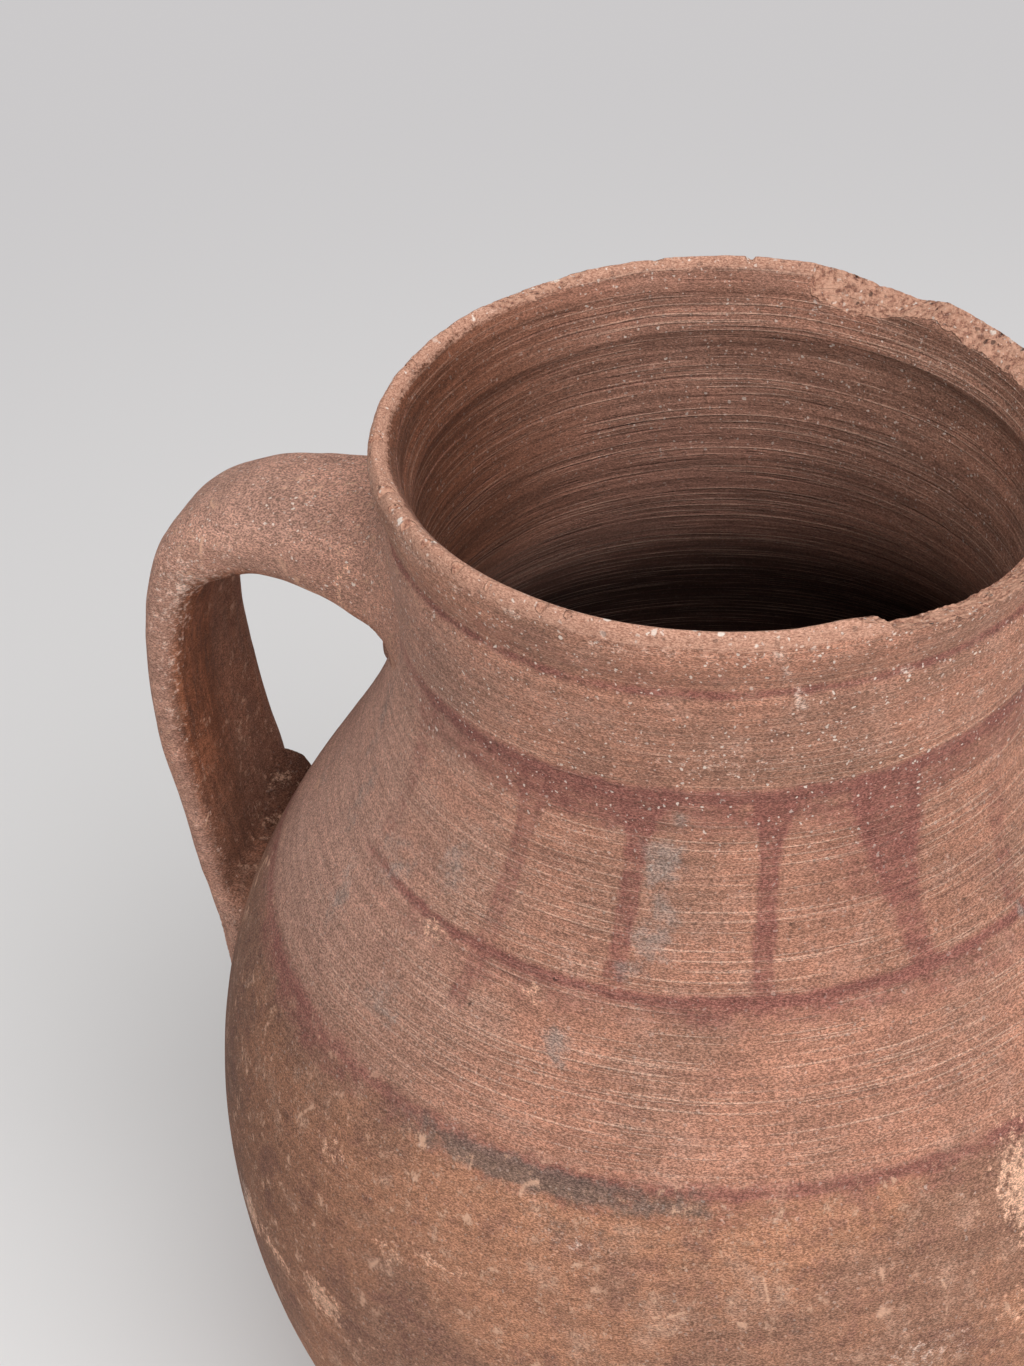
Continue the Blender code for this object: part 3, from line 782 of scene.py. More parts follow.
@dataclass
class RimCollar(TurnedRing):
    """Collar and lip, worn all round and broken away over the pouring side.

    Tables are in degrees and millimetres. Crown: steps in and down over the lip. Sags: azimuth and drop of
    the lip. Breaks: azimuth, and the heights left standing outside and inside. Nicks: azimuth, half width,
    and depths outside and inside.
    """

    crown: tuple[Row, ...] = (
        (0.0, 5.8), (0.0, 4.4), (0.2, 3.0), (0.6, 1.7), (1.3, 0.6), (2.2, 0.1),
        (3.2, 0.4), (4.5, 1.4), (5.8, 2.7), (7.0, 4.3), (7.9, 6.2), (8.4, 8.4))
    sags: tuple[Row, ...] = (
        (-180, 0.3), (-150, 0.3), (-116, 0.1), (-105, 0.3), (-90, 1.1), (-72, 1.8), (-61, 2.1), (-54, 1.4),
        (-48, 1.8), (0, 2.0), (40, 1.5), (70, 0.6), (107, 0.1), (150, 0.1), (180, 0.3))
    breaks: tuple[Row, ...] = (
        (-54, 404.0, 404.0), (-51, 397.8, 395.8), (-47.6, 396.8, 394.4), (-46.4, 394.6, 391.6),
        (-45, 393.4, 390.4), (-42, 392.6, 389.8), (-37, 392.0, 389.0), (-32, 390.4, 388.2),
        (-25, 390.6, 387.1), (-17, 390.7, 386.1), (-8, 390.0, 385.8), (3, 390.5, 386.6),
        (12, 392.5, 388.0), (21, 394.0, 390.5), (30, 395.2, 392.5), (40, 396.8, 392.0),
        (47, 396.8, 391.8), (53, 397.4, 392.0), (58, 398.6, 392.8), (62, 398.8, 393.6),
        (65.5, 396.2, 393.8), (68.5, 394.6, 392.5), (72, 394.8, 390.5), (77, 395.6, 389.0),
        (81, 397.0, 388.5), (84, 398.5, 389.6), (86.5, 399.0, 390.6), (88.5, 399.6, 392.0),
        (90, 404.0, 404.0), (127, 404.0, 404.0), (131, 399.8, 398.5), (135, 399.0, 397.2),
        (141, 398.5, 396.6), (147, 398.2, 396.8), (151, 398.6, 397.5), (153, 399.2, 398.5),
        (154.2, 404.0, 404.0))
    nicks: tuple[Row, ...] = (
        (-144, 1.6, 1.6, 0.2), (-138.5, 1.2, 1.2, 0.2), (-133, 1.5, 1.5, 0.3), (-126.5, 1.0, 1.0, 0.2),
        (-101, 1.2, 0.9, 0.1), (-96.5, 0.9, 0.8, 0.1), (-118, 1.4, 1.2, 0.3), (-111, 0.9, 1.1, 0.2),
        (-160, 1.8, 1.2, 0.4), (176, 2.2, 1.0, 0.8), (163, 1.4, 0.3, 1.2), (118, 1.8, 0.9, 0.4),
        (101, 1.3, 1.0, 0.5))
    rows_round: int = 98
    outside_rows: int = 120
    crown_rows: int = 199
    inside_rows: int = 59
    grain: float = 0.00075
    lump: float = 0.0007
    wear: float = 0.00030
    back_stretch: float = 0.0012
    back_middle: float = 145.0
    back_half_width: float = 105.0

    def sag(self, azimuth: Array) -> Array:
        """Drop of the uneven lip below its highest place."""
        places, drops = np.array(self.sags).T
        return np.interp(turn_between(azimuth, 0.0), places, drops * MM)

    def whole_outline(self) -> Array:
        """Unbroken section as rows of radius, height and side, up the outside and down the inside."""
        join, low = SHAPE.collar_join, SHAPE.collar_join + SHAPE.lap_height
        out_z = join + (SHAPE.lip_centre_height - join) * np.linspace(0.0, 1.0, self.outside_rows)
        entry = np.linspace(0.0, len(self.crown) - 1.0, self.crown_rows + 1)[1:]
        step_in, step_down = np.array(self.crown).T * MM
        crown_r = SHAPE.lip_radius - spline(step_in, entry)
        crown_z = SHAPE.top - spline(step_down, entry)
        in_z = np.linspace(crown_z[-1], low, self.inside_rows + 1)[1:]
        inner = float(SHAPE.inner(low))
        in_r = inner + (crown_r[-1] - inner) * rise(in_z, low, crown_z[-1] - low)
        side = np.concatenate((np.ones(self.outside_rows), smooth_step(1.0 - (entry - 2.0) / 8.0),
                               np.zeros(self.inside_rows)))
        return np.stack((np.concatenate((SHAPE.outer(out_z), crown_r, in_r)),
                         np.concatenate((out_z, crown_z, in_z)), side))

    def standing(self, azimuth: Array, radius: Array) -> Array:
        """Height of clay left standing at places on the lip.

        Args:
            azimuth: Directions in degrees.
            radius: Radii of the unbroken section.

        Returns:
            Heights over the ground, above the lip where it is whole.
        """
        azimuth = turn_between(azimuth, 0.0)
        places, *sides = np.array(self.breaks).T
        outside, inside = (np.interp(azimuth, places, cut * MM, left=WHOLE_LIP, right=WHOLE_LIP) for cut in sides)
        share = np.clip((radius - (SHAPE.lip_radius - SHAPE.lip_thickness)) / SHAPE.lip_thickness, -0.2, 1.2)
        height = inside + (outside - inside) * share
        top = SHAPE.top - self.sag(azimuth)
        for middle, half_width, outer_depth, inner_depth in self.nicks:
            away = np.abs(turn_between(azimuth, middle)) / half_width
            bite = np.clip(1.0 - away ** 2, 0.0, 1.0) ** 0.7
            depth = (inner_depth + (outer_depth - inner_depth) * share) * MM
            bitten = top - 2.2 * depth * bite + 0.0016 * (1.0 - bite)
            height = np.minimum(height, np.where(away < 1.0, bitten, WHOLE_LIP))
        return height

    def section_table(self) -> Array:
        """Radius, height, side and loss of clay, by step round the axis and row of the broken section."""
        radius, height, side = self.whole_outline()
        turn = np.arange(self.turn_steps)[:, None] * 360.0 / self.turn_steps
        east, north = (part * radius for part in compass(turn))
        level = height - self.sag(turn) * rise(height, SHAPE.collar_join, 0.013)
        rough = (self.grain * LatticeNoise(71).layered(east, north, level, 3, 0.0014)
                 + self.lump * LatticeNoise(72).layered(east, north, level, 2, 0.0052))
        cut = np.minimum(level, self.standing(turn, radius) + rough)
        lost = smooth_step((level - cut) / 0.0009)
        table = np.empty((self.turn_steps, self.rows_round + 2, 4))
        for index in range(self.turn_steps):
            run = run_along(radius, cut[index])
            even = np.linspace(0.0, run[-1], self.rows_round)
            for column, values in enumerate((radius, cut[index], side, lost[index])):
                table[index, :self.rows_round, column] = np.interp(even, run, values)
        foot, head = SHAPE.lap_face(self.low)
        table[:, -2] = (head, self.low + SHAPE.lap_height, 0.5, 0.0)
        table[:, -1] = (foot, self.low, 0.5, 0.0)
        return table

    def make(self, material: bpy.types.Material) -> bpy.types.Object:
        """Build the collar, break its lip and dress it."""
        mesh, row, azimuth = self.wrap(self.rows_round + 2)
        step = np.rint(azimuth * self.turn_steps / 360.0).astype(int)
        radius, height, side, lost = self.section_table()[step, row].T
        worked = row < self.rows_round
        shift = HAND.shift(azimuth, height, side, worked)
        places = round_axis(azimuth, radius, height).T
        lumps = LatticeNoise(73).layered(*places, 2, 0.0070) + 0.5 * LatticeNoise(74).layered(*places, 2, 0.0021)
        worn_off = self.wear * rise(height, 0.388, 0.006) * (1.0 - lost) * worked * (1.0 + lumps)
        height = height - worn_off
        back = toward(azimuth, self.back_middle, self.back_half_width) * rise(height, 0.381, 0.010)
        moved = radius + shift - worn_off + self.back_stretch * back
        write_points(mesh, round_axis(azimuth, moved, height))
        worn_from = SHAPE.top - self.sag(azimuth) - 0.0036 - 0.0024 * side
        paint(mesh, self.traits(azimuth, radius, height, np.where(side > 0.3, 1.0, 0.0)))
        paint(mesh, {Trait.WORN: rise(height, worn_from, 0.0030) * worked, Trait.BROKEN: lost})
        close_seams(mesh)
        return finish_piece(mesh, material, self.slot, self.node)


@dataclass
class StrapHandle:
    """Broad strap, pulled by hand and wiped onto the neck and the belly.

    Stations are rows of drop below the neck's waist, distance off the wall, width and thickness, in
    millimetres, from the neck to the belly.
    """

    name: str = "strap"
    node: str = "strap_handle"
    stations: tuple[Row, ...] = (
        (7.0, -20.7, 78.0, 48.0), (7.0, -1.7, 70.0, 42.0), (5.8, 16.4, 59.0, 30.0), (5.4, 36.4, 51.0, 25.4),
        (8.5, 53.7, 48.5, 23.6), (17.6, 67.1, 50.0, 20.8), (36.3, 67.8, 53.0, 17.2), (58.1, 59.5, 56.0, 15.6),
        (80.0, 44.2, 57.5, 14.4), (102.0, 27.4, 57.8, 13.6), (124.0, 13.0, 59.6, 13.2), (145.0, 2.3, 59.2, 12.2),
        (163.0, -2.8, 51.0, 10.4), (176.5, -4.2, 37.0, 8.0))
    outer_squareness: float = 2.8
    inner_squareness: float = 2.2
    sides: int = 132
    steps: int = 380
    tight_fillet: float = 0.0012
    near_rib: float = 0.0018
    wide_fillet: float = 0.0120
    under_fillet: float = 0.0088
    foot_fillet: float = 0.0090
    fillet_steps: int = 32
    channel: float = 0.0020
    lump: float = 0.00080
    shrink: float = 0.00046

    def make(self, material: bpy.types.Material) -> bpy.types.Object:
        """Build and dress the strap."""
        mesh = grid_mesh(self.name, self.sides, self.steps)
        grid = read_points(mesh)
        points, traits = self.surface((grid[:, 0] + 1.0) * math.pi, (grid[:, 1] + 1.0) / 2)
        write_points(mesh, points)
        paint(mesh, traits)
        close_seams(mesh)
        return finish_piece(mesh, material, Slot.HANDLE, self.node)

    def surface(self, around: Array, along: Array) -> tuple[Array, dict[Trait, Array]]:
        """Places and traits of the strap's points.

        Args:
            around: Angles round the section.
            along: Shares of the way from the neck to the belly.

        Returns:
            The points, and the values of each trait.
        """
        drops, stand_offs, widths, thicknesses = np.array(self.stations).T * MM
        heights = SHAPE.neck_waist - drops
        reaches = SHAPE.outer(heights) + stand_offs
        last = len(self.stations) - 1
        place = along * last
        reach, height, width, thickness = (spline(values, place) for values in (reaches, heights, widths, thicknesses))
        before, after = np.maximum(place - 0.02, 0.0), np.minimum(place + 0.02, last)
        run_x = spline(reaches, before) - spline(reaches, after)
        run_z = spline(heights, after) - spline(heights, before)
        length = np.hypot(run_x, run_z)
        out_x, out_z = run_z / length, -run_x / length
        cosine, sine = np.cos(around), np.sin(around)
        power = 2.0 / np.where(sine > 0.0, self.outer_squareness, self.inner_squareness)
        across = np.sign(cosine) * np.abs(cosine) ** power
        through = np.sign(sine) * np.abs(sine) ** power
        closing = rise(along, 0.0, 0.006) * fall(along, 1.0, 0.006)
        half_width, half_thick = width / 2 * closing, thickness / 2 * closing
        base = np.stack((-reach + out_x * half_thick * through, half_width * across,
                         height + out_z * half_thick * through), axis=1)
        normal = np.stack((out_x * sine * half_width, cosine * half_thick, out_z * sine * half_width), axis=1)
        normal /= np.maximum(np.linalg.norm(normal, axis=1, keepdims=True), 1e-9)
        inner_face, outer_face = rise(-sine, 0.1, 0.5), rise(sine, 0.2, 0.5)
        points = base + normal * (self.relief(base, along, inner_face, outer_face) * closing)[:, None]
        near = rise(-cosine, 0.10, 0.80) * fall(sine, 0.50, 0.95)
        raised = self.near_rib * near * rise(along, 0.24, 0.1) * fall(along, 0.93, 0.2) * closing
        points[:, 0] -= out_x * raised
        points[:, 2] -= out_z * raised
        within = np.maximum(self.tight_fillet, self.under_fillet * fall(along, 0.24, 0.08))
        within = np.maximum(within, self.foot_fillet * rise(along, 0.66, 0.10))
        fillet = within + (self.wide_fillet - within) * (1.0 - inner_face)
        points = points + normal * (self.fillet_push(points, normal, fillet) * closing)[:, None]
        edge = rise(-cosine, 0.45, 0.4)
        bend = np.exp(-((along - 0.37) / 0.13) ** 2)
        rib = smooth_step(1.0 - np.abs(sine + 0.35) / 0.9) * edge
        # Painted bounce light on the strap's inner face is strongest on its near half.
        near_half = 0.42 + 0.58 * fall(base[:, 1], 0.006, 0.016)
        return SHAPE.lay_under(points), {
            Trait.WIPED: (0.62 * (0.66 + 0.34 * outer_face) * (1.0 - inner_face)
                          * np.maximum(fall(along, 0.62, 0.25), 0.9 * edge)),
            # Painted bounce light on the inner face.
            Trait.PAINTED_BOUNCE_LIGHT: (inner_face * rise(along, 0.22, 0.08) * fall(along, 0.99, 0.15) * near_half
                          * (1.0 - 0.55 * rise(along, 0.58, 0.20))),
            Trait.CRUST: 0.34 * edge * bend + 0.36 * rib * rise(along, 0.25, 0.1),
            # Painted shade on the strap's inner face, more towards the belly.
            Trait.DEPTH: (0.08 + 0.36 * rise(along, 0.60, 0.22)) * inner_face,
            Trait.SCUFF: 0.35 * np.exp(-((along - 0.13) / 0.012) ** 2) * edge,
        }

    def relief(self, base: Array, along: Array, inner_face: Array, outer_face: Array) -> Array:
        """Lumps, wipe marks and the pressed channel.

        Args:
            base: Places on the plain strap.
            along: Shares of the way from the neck to the belly.
            inner_face: 1 on the face towards the jug.
            outer_face: 1 on the face away from it.

        Returns:
            Distances along the normals.
        """
        side, run, level = base[:, 1], along * 0.30, along * 0.0
        wipes = LatticeNoise(82)
        relief = self.lump * LatticeNoise(81).layered(*base.T, 3, 0.021)
        relief = relief + 0.00050 * inner_face * wipes.layered(side / 0.0030, run / 0.050, level, 3)
        pressed = np.exp(-((side - 0.003) / 0.015) ** 2) * rise(along, 0.24, 0.1)
        relief = relief - self.channel * inner_face * pressed
        relief = relief + 0.00022 * outer_face * wipes.layered(side / 0.0065, run / 0.06, level + 5.0, 2)
        hollow = np.exp(-(side / 0.010) ** 2) * rise(along, 0.3, 0.2)
        return relief - 0.0012 * outer_face * hollow - self.shrink

    def fillet_push(self, points: Array, normal: Array, fillet: Array) -> Array:
        """How far each point moves out for the strap to meet the wall in a hollow curve.

        Args:
            points: Places on the plain strap.
            normal: Directions square to its surface.
            fillet: Radius of the hollow at each point.

        Returns:
            Distances along the normals.
        """
        push = np.zeros(len(points))
        going = np.ones(len(points), dtype=bool)
        for step in range(1, self.fillet_steps + 1):
            reach = fillet * step / self.fillet_steps
            near = np.clip(fillet - SHAPE.distance(points + normal * reach[:, None]), 0.0, fillet)
            going &= fillet - np.sqrt(np.maximum(fillet ** 2 - near ** 2, 0.0)) > reach
            push = np.where(going, reach, push)
        slope = SHAPE.slope(points[:, 2])
        radius = np.maximum(np.hypot(points[:, 0], points[:, 1]), MM)
        facing = (normal[:, 0] * points[:, 0] + normal[:, 1] * points[:, 1]) / radius - normal[:, 2] * slope
        return push * (1.0 - rise(facing / SHAPE.steepness(points[:, 2]), 0.45, 0.45))


@dataclass
class LutingWad:
    """Lump of soft clay pressed into the angle between strap and wall."""

    name: str
    node: str
    reach: float
    height: float
    half_sizes: tuple[float, float, float]
    seed: int
    near_drop: float
    tilt: float
    # Strength of the painted shade and painted bounce light on the wad.
    shade: float

    def make(self, material: bpy.types.Material) -> bpy.types.Object:
        """Build and dress the wad."""
        shape = bmesh.new()
        bmesh.ops.create_uvsphere(shape, u_segments=160, v_segments=100, radius=1.0)
        mesh = into_mesh(shape, self.name)
        x, y, z = read_points(mesh).T
        noise = LatticeNoise(self.seed)
        size = (1.0 + 0.07 * noise.layered(x * 1.6, y * 2.6, z * 1.6, 3)
                + 0.03 * noise.layered(x * 5.0, y * 11.0, z * 5.0 + 3.0, 3))
        blunt = np.sqrt(1.0 + y ** 2 + y ** 4)
        points = np.stack((x * blunt, y, z * blunt), axis=1) * size[:, None] * np.array(self.half_sizes)
        points += np.array([-self.reach, 0.0, self.height])
        points[:, 2] -= self.tilt * x * blunt + self.near_drop * fall(y, 0.95, 1.7)
        write_points(mesh, SHAPE.lay_under(points))
        # Painted shade and bounce light: the more shade, the less wiped colour.
        shades = {Trait.WIPED: 0.8 - self.shade, Trait.PAINTED_BOUNCE_LIGHT: self.shade * 0.5, Trait.DEPTH: self.shade * 0.9}
        paint(mesh, {trait: np.full(len(points), shade) for trait, shade in shades.items()})
        return finish_piece(mesh, material, Slot.HANDLE, self.node)


class Value:
    """Number that a node gives, which plain arithmetic works on."""

    def __init__(self, graph: "NodeGraph", socket: Socket) -> None:
        """Hold a socket of a graph."""
        self.graph, self.socket = graph, socket

    def __add__(self, other: "Value | float") -> "Value":
        """Sum of two values."""
        return self.graph.math("ADD", self, other)

    def __sub__(self, other: "Value | float") -> "Value":
        """Difference of two values."""
        return self.graph.math("SUBTRACT", self, other)

    def __mul__(self, other: "Value | float") -> "Value":
        """Product of two values."""
        return self.graph.math("MULTIPLY", self, other)

    def __pow__(self, other: "Value | float") -> "Value":
        """Value raised to a power."""
        return self.graph.math("POWER", self, other)

    def or_more(self, other: "Value | float") -> "Value":
        """Larger of two values."""
        return self.graph.math("MAXIMUM", self, other)

    def span(self, low: float, high: float, to_low: float = 0.0, to_high: float = 1.0) -> "Value":
        """Value mapped smoothly from one range to another and held at its ends."""
        inputs = {"Value": self, "From Min": low, "From Max": high, "To Min": to_low, "To Max": to_high}
        return Value(self.graph, self.graph.node("MapRange", inputs, interpolation_type="SMOOTHSTEP").outputs["Result"])


class NodeGraph:
    """Short calls for a node tree."""

    def __init__(self, owner: "bpy.types.Material | bpy.types.World") -> None:
        """Start the node tree of a material or a world."""
        owner.use_nodes = True
        self.nodes, self.links = owner.node_tree.nodes, owner.node_tree.links

    @cached_property
    def place(self) -> Socket:
        """Object coordinates."""
        return self.node("TexCoord").outputs["Object"]

    def join(self, source: "Value | Socket | float | Row", target: Socket) -> None:
        """Link an output to an input, or set the input to a number or a colour."""
        if isinstance(source, Value):
            source = source.socket
        if isinstance(source, Socket):
            self.links.new(source, target)
        else:
            target.default_value = (*source, 1.0) if target.type == "RGBA" else source

    def node(self, kind: str, inputs: "dict | None" = None, **settings: object) -> bpy.types.Node:
        """Add a node.

        Args:
            kind: Kind of shader node.
            inputs: Outputs, numbers or colours for its inputs, by name or place.
            **settings: Properties of the node.

        Returns:
            The new node.
        """
        node = self.nodes.new("ShaderNode" + kind)
        for name, value in settings.items():
            setattr(node, name, value)
        return self.fill(node, inputs or {})

    def fill(self, node: bpy.types.Node, inputs: dict) -> bpy.types.Node:
        """Join values to a node's inputs, by name or place, and return the node."""
        for name, value in inputs.items():
            self.join(value, node.inputs[name])
        return node

    def math(self, operation: str, first: "Value | float", second: "Value | float" = 0.0) -> Value:
        """Result of an arithmetic node."""
        return Value(self, self.node("Math", {0: first, 1: second}, operation=operation).outputs["Value"])

    def stretched(self, along_z: float) -> Socket:
        """Object coordinates multiplied along Z."""
        node = self.node("Mapping", {"Vector": self.place})
        node.inputs["Scale"].default_value = (1.0, 1.0, along_z)
        return node.outputs["Vector"]

    def noise(self, scale: float, detail: float, roughness: float, place: "Socket | None" = None) -> Value:
        """Noise of a number of cells to the metre, with finer layers of a strength."""
        inputs = {"Vector": place or self.place, "Scale": scale, "Detail": detail, "Roughness": roughness}
        return Value(self, self.node("TexNoise", inputs).outputs["Fac"])

    def height(self) -> Value:
        """Height over the ground."""
        return Value(self, self.node("SeparateXYZ", {"Vector": self.place}).outputs["Z"])

    def trait(self, trait: Trait) -> Value:
        """Value of a painted trait."""
        return Value(self, self.node("Attribute", attribute_name=trait.value).outputs["Fac"])

    def rings(self, spacing: float, wander: float, runs: float, low: float, high: float) -> Value:
        """Thin level lines round the jug, in broken runs.

        Args:
            spacing: Height between two lines in metres.
            wander: How far a line strays up and down, in metres.
            runs: Runs to the metre.
            low: Value of the breaking noise at which a line starts.
            high: Value at which it is full.

        Returns:
            1 on the lines and 0 beside them.
        """
        scale = math.pi / (10.0 * spacing)
        wave = self.node("TexWave", {
            "Vector": self.place, "Scale": scale, "Distortion": 2.0 * math.pi * wander / spacing, "Detail": 1.0,
            "Detail Scale": 24.0 / scale}, wave_type="BANDS", bands_direction="Z")
        broken = self.noise(runs, 2.0, 0.6, self.stretched(9.0)).span(low, high)
        return Value(self, wave.outputs["Fac"]).span(0.84, 0.985) * broken

    def warped(self, scale: float, reach: float) -> Socket:
        """Coordinates that a noise pushes about by a reach, so that round specks become ragged."""
        noise = self.node("TexNoise", {"Vector": self.place, "Scale": scale, "Detail": 1.0})
        push = self.node("VectorMath", {0: noise.outputs["Color"], 2: self.place}, operation="MULTIPLY_ADD")
        push.inputs[1].default_value = (reach, reach, reach)
        return push.outputs["Vector"]

    def specks(self, scale: float, size: float, share: float, place: Socket) -> Value:
        """Specks of many sizes in a share of the cells.

        Args:
            scale: Cells to the metre.
            size: Radius of the largest specks in cells.
            share: Share of the cells that hold a speck.
            place: Coordinates.

        Returns:
            1 inside the specks and 0 outside.
        """
        node = self.node("TexVoronoi", {"Vector": place, "Scale": scale})
        split = self.node("SeparateColor", {"Color": node.outputs["Color"]})
        chance, radius, strength = (Value(self, split.outputs[name]) for name in ("Red", "Green", "Blue"))
        inside = (Value(self, node.outputs["Distance"]) - radius * size).span(size * 0.25, -size * 0.1)
        return inside * (self.math("LESS_THAN", chance, share) * strength.span(0.0, 0.8, 0.35, 1.0))

    def mix(self, share: "Value | float", first: "Socket | Colour", second: "Socket | Colour",
            blend: str = "MIX") -> Socket:
        """Blend of two colours, with a share of the second."""
        return self.node("Mix", {0: share, 6: first, 7: second}, data_type="RGBA", blend_type=blend).outputs[2]

    def grey(self, value: Value) -> Socket:
        """A value as a grey colour."""
        return self.node("CombineColor", {"Red": value, "Green": value, "Blue": value}).outputs["Color"]

    def seen(self) -> Value:
        """1 for camera, glossy and transmission rays, and 0 for those that only carry light."""
        rays = self.node("LightPath").outputs
        camera, glossy, passed = (Value(self, rays[f"Is {kind} Ray"]) for kind in ("Camera", "Glossy", "Transmission"))
        return camera.or_more(glossy).or_more(passed)


@dataclass(frozen=True)
class FiredClay:
    """Finish of the jug's unglazed clay: colours, and depths of its grain in metres."""

    name: str
    brown: Colour = (0.348, 0.176, 0.120)
    orange: Colour = (0.440, 0.208, 0.138)
    pink: Colour = (0.525, 0.300, 0.225)
    # Pale colour painted on the ridges of the turning lines and on the peaks of the grain: painted highlight.
    pale_highlight: Colour = (0.760, 0.510, 0.390)
    # Darker clay, for the mottling and the crumbs of the breaks, and painted shade in the turning grooves.
    dark_clay_and_shade: Colour = (0.245, 0.115, 0.086)
    slip: Colour = (0.238, 0.084, 0.070)
    smoke: Colour = (0.300, 0.236, 0.205)
    grey_slip: Colour = (0.150, 0.112, 0.092)
    chalk: Colour = (0.900, 0.790, 0.700)
    # Colour that darkens the pits and pores.
    pit_dark: Colour = (0.060, 0.036, 0.030)
    scuff: Colour = (0.730, 0.430, 0.295)
    lip: Colour = (0.690, 0.400, 0.290)
    fracture: Colour = (0.700, 0.390, 0.275)
    crust: Colour = (0.700, 0.530, 0.440)
    mauve: Colour = (0.590, 0.355, 0.285)
    # Inside colour, which the inside trait lays on more lower down and less on the lit side: partly painted shade.
    inner: Colour = (0.278, 0.136, 0.100)
    # Painted bounce light in shaded hollows: an orange tone, lighter along some wipe marks and painted shade along
    # others.
    bounce_light: Colour = (0.240, 0.082, 0.038)
    bounce_light_streak: Colour = (0.390, 0.140, 0.066)
    shade: Colour = (0.140, 0.056, 0.032)
    # Painted shade: the tone that the painted shade trait lays on.
    painted_shade_tone: Colour = (0.036, 0.012, 0.008)
    grain_depth: float = 0.00042
    coarse_depth: float = 0.000672
    line_depth: float = 0.00022
    pit_depth: float = 0.00025
    crumb_depth: float = 0.0014
    mottle: float = 1.0

    def make(self) -> bpy.types.Material:
        """Build the material: clay, slip, fire clouds, grain, wear, specks, relief, and painted light and shade."""
        material = bpy.data.materials.new(self.name)
        graph = NodeGraph(material)
        low, middle = graph.noise(17.0, 4.0, 0.62), graph.noise(85.0, 5.0, 0.68)
        grain, coarse = graph.noise(1350.0, 3.0, 0.70, graph.stretched(2.6)), graph.noise(480.0, 4.0, 0.76)
        line = graph.noise(22.0, 3.0, 0.62, graph.stretched(22.0))
        turned, inside, bounce_light = graph.trait(Trait.TURNED), graph.trait(Trait.INSIDE), graph.trait(Trait.PAINTED_BOUNCE_LIGHT)
        pale = graph.rings(0.0024, 0.0011, 22.0, 0.43, 0.60).or_more(graph.rings(0.0015, 0.0006, 34.0, 0.48, 0.62))
        pale = pale * (turned * bounce_light.span(0.0, 0.5, 1.0, 0.35))
        groove = graph.rings(0.0033, 0.0015, 27.0, 0.49, 0.66) * turned

        colour = self.bare_clay(graph, low, middle)
        # Pale turning lines: painted highlight along their ridges.
        colour = graph.mix(pale * 0.37, colour, self.pale_highlight)
        # Painted shade in the turning grooves.
        colour = graph.mix(groove * inside.span(0.0, 1.0, 0.40, 0.60), colour, self.dark_clay_and_shade)
        colour = self.lay_slip(graph, colour, grain)
        colour = self.smoke_and_scuff(graph, colour, coarse)
        # Painted light and shade of the grit and the inside ridges, beside their bump: lighter and darker specks and
        # lines, with the clay's own grain tone.
        shades = grain.span(0.41, 0.58, 0.58, 1.42) * coarse.span(0.38, 0.62, 0.89, 1.10)
        ridges = line.span(0.38, 0.62, 0.90, 1.09) ** inside.span(0.0, 1.0, 1.0, 2.6)
        shades = shades ** inside.span(0.0, 1.0, 1.0, 0.55) * ridges
        colour = graph.mix(1.0, colour, graph.grey(shades), "MULTIPLY")
        colour, broken = self.wear_lip(graph, colour, coarse, grain)

        ragged, worn = graph.warped(650.0, 0.0016), graph.trait(Trait.WORN)
        # Fewer pale specks on the inside and under painted bounce light, to suit the painted shade there.
        dim = inside.span(0.0, 1.0, 0.85, 0.30) * bounce_light.span(0.0, 0.6, 1.0, 0.3)
        salted = dim * graph.height().span(0.315, 0.345, 0.25, 1.0)
        flecks = graph.specks(720.0, 0.32, 0.24, ragged) * salted
        flecks = flecks.or_more(graph.specks(1050.0, 0.42, 0.12, ragged) * salted)
        flecks = flecks.or_more(graph.specks(330.0, 0.34, 0.22, ragged) * worn)
        grits = graph.specks(90.0, 0.070, 0.13, ragged) * dim
        pits = graph.specks(260.0, 0.14, 0.16, ragged)
        pores = graph.specks(430.0, 0.30, 0.60, ragged) * broken.or_more(worn * 0.55)
        scaly = graph.noise(170.0, 6.0, 0.82).span(0.56, 0.64, 0.0, 0.85) * low.span(0.37, 0.53)
        scratch = graph.math("ABSOLUTE", graph.noise(26.0, 2.0, 0.5, graph.stretched(0.5)) - 0.5).span(0.009, 0.00225)
        scaly = scaly.or_more(scratch * middle.span(0.54, 0.60, 0.0, 0.7)) * (turned + inside).span(0.6, 0.1)
        # Painted glints: highlights on the peaks of the grain.
        painted_glints = grain.span(0.60, 0.68) * dim
        # Pits and pores take a darker colour.
        for cover, tone in ((scaly, self.scuff), (painted_glints * 0.45, self.pale_highlight), (flecks * 0.85, self.chalk),
                            (grits, self.chalk), (pits * 0.55, self.pit_dark), (pores * 0.75, self.pit_dark)):
            colour = graph.mix(cover, colour, tone)

        thrown = turned.span(0.0, 1.0, 0.00005, 0.00032) * inside.span(0.0, 1.0, 1.0, 2.2)
        height = (grain * self.grain_depth + coarse * self.coarse_depth + line * thrown
                  + (pale - groove) * inside.span(0.0, 1.0, self.line_depth, self.line_depth * 2.0)
                  - pits * self.pit_depth + scaly * self.line_depth - pores * (self.pit_depth * 2.0)
                  + graph.noise(560.0, 4.0, 0.78) * broken * self.crumb_depth)
        bump = graph.node("Bump", {"Strength": 1.0, "Distance": 1.0, "Height": height})
        graph.fill(graph.nodes["Principled BSDF"], {
            "Base Color": colour, "Roughness": grain.span(0.3, 0.7, 0.82, 0.96), "Specular IOR Level": 0.22,
            "Metallic": 0.0, "Normal": bump.outputs["Normal"]})
        return material

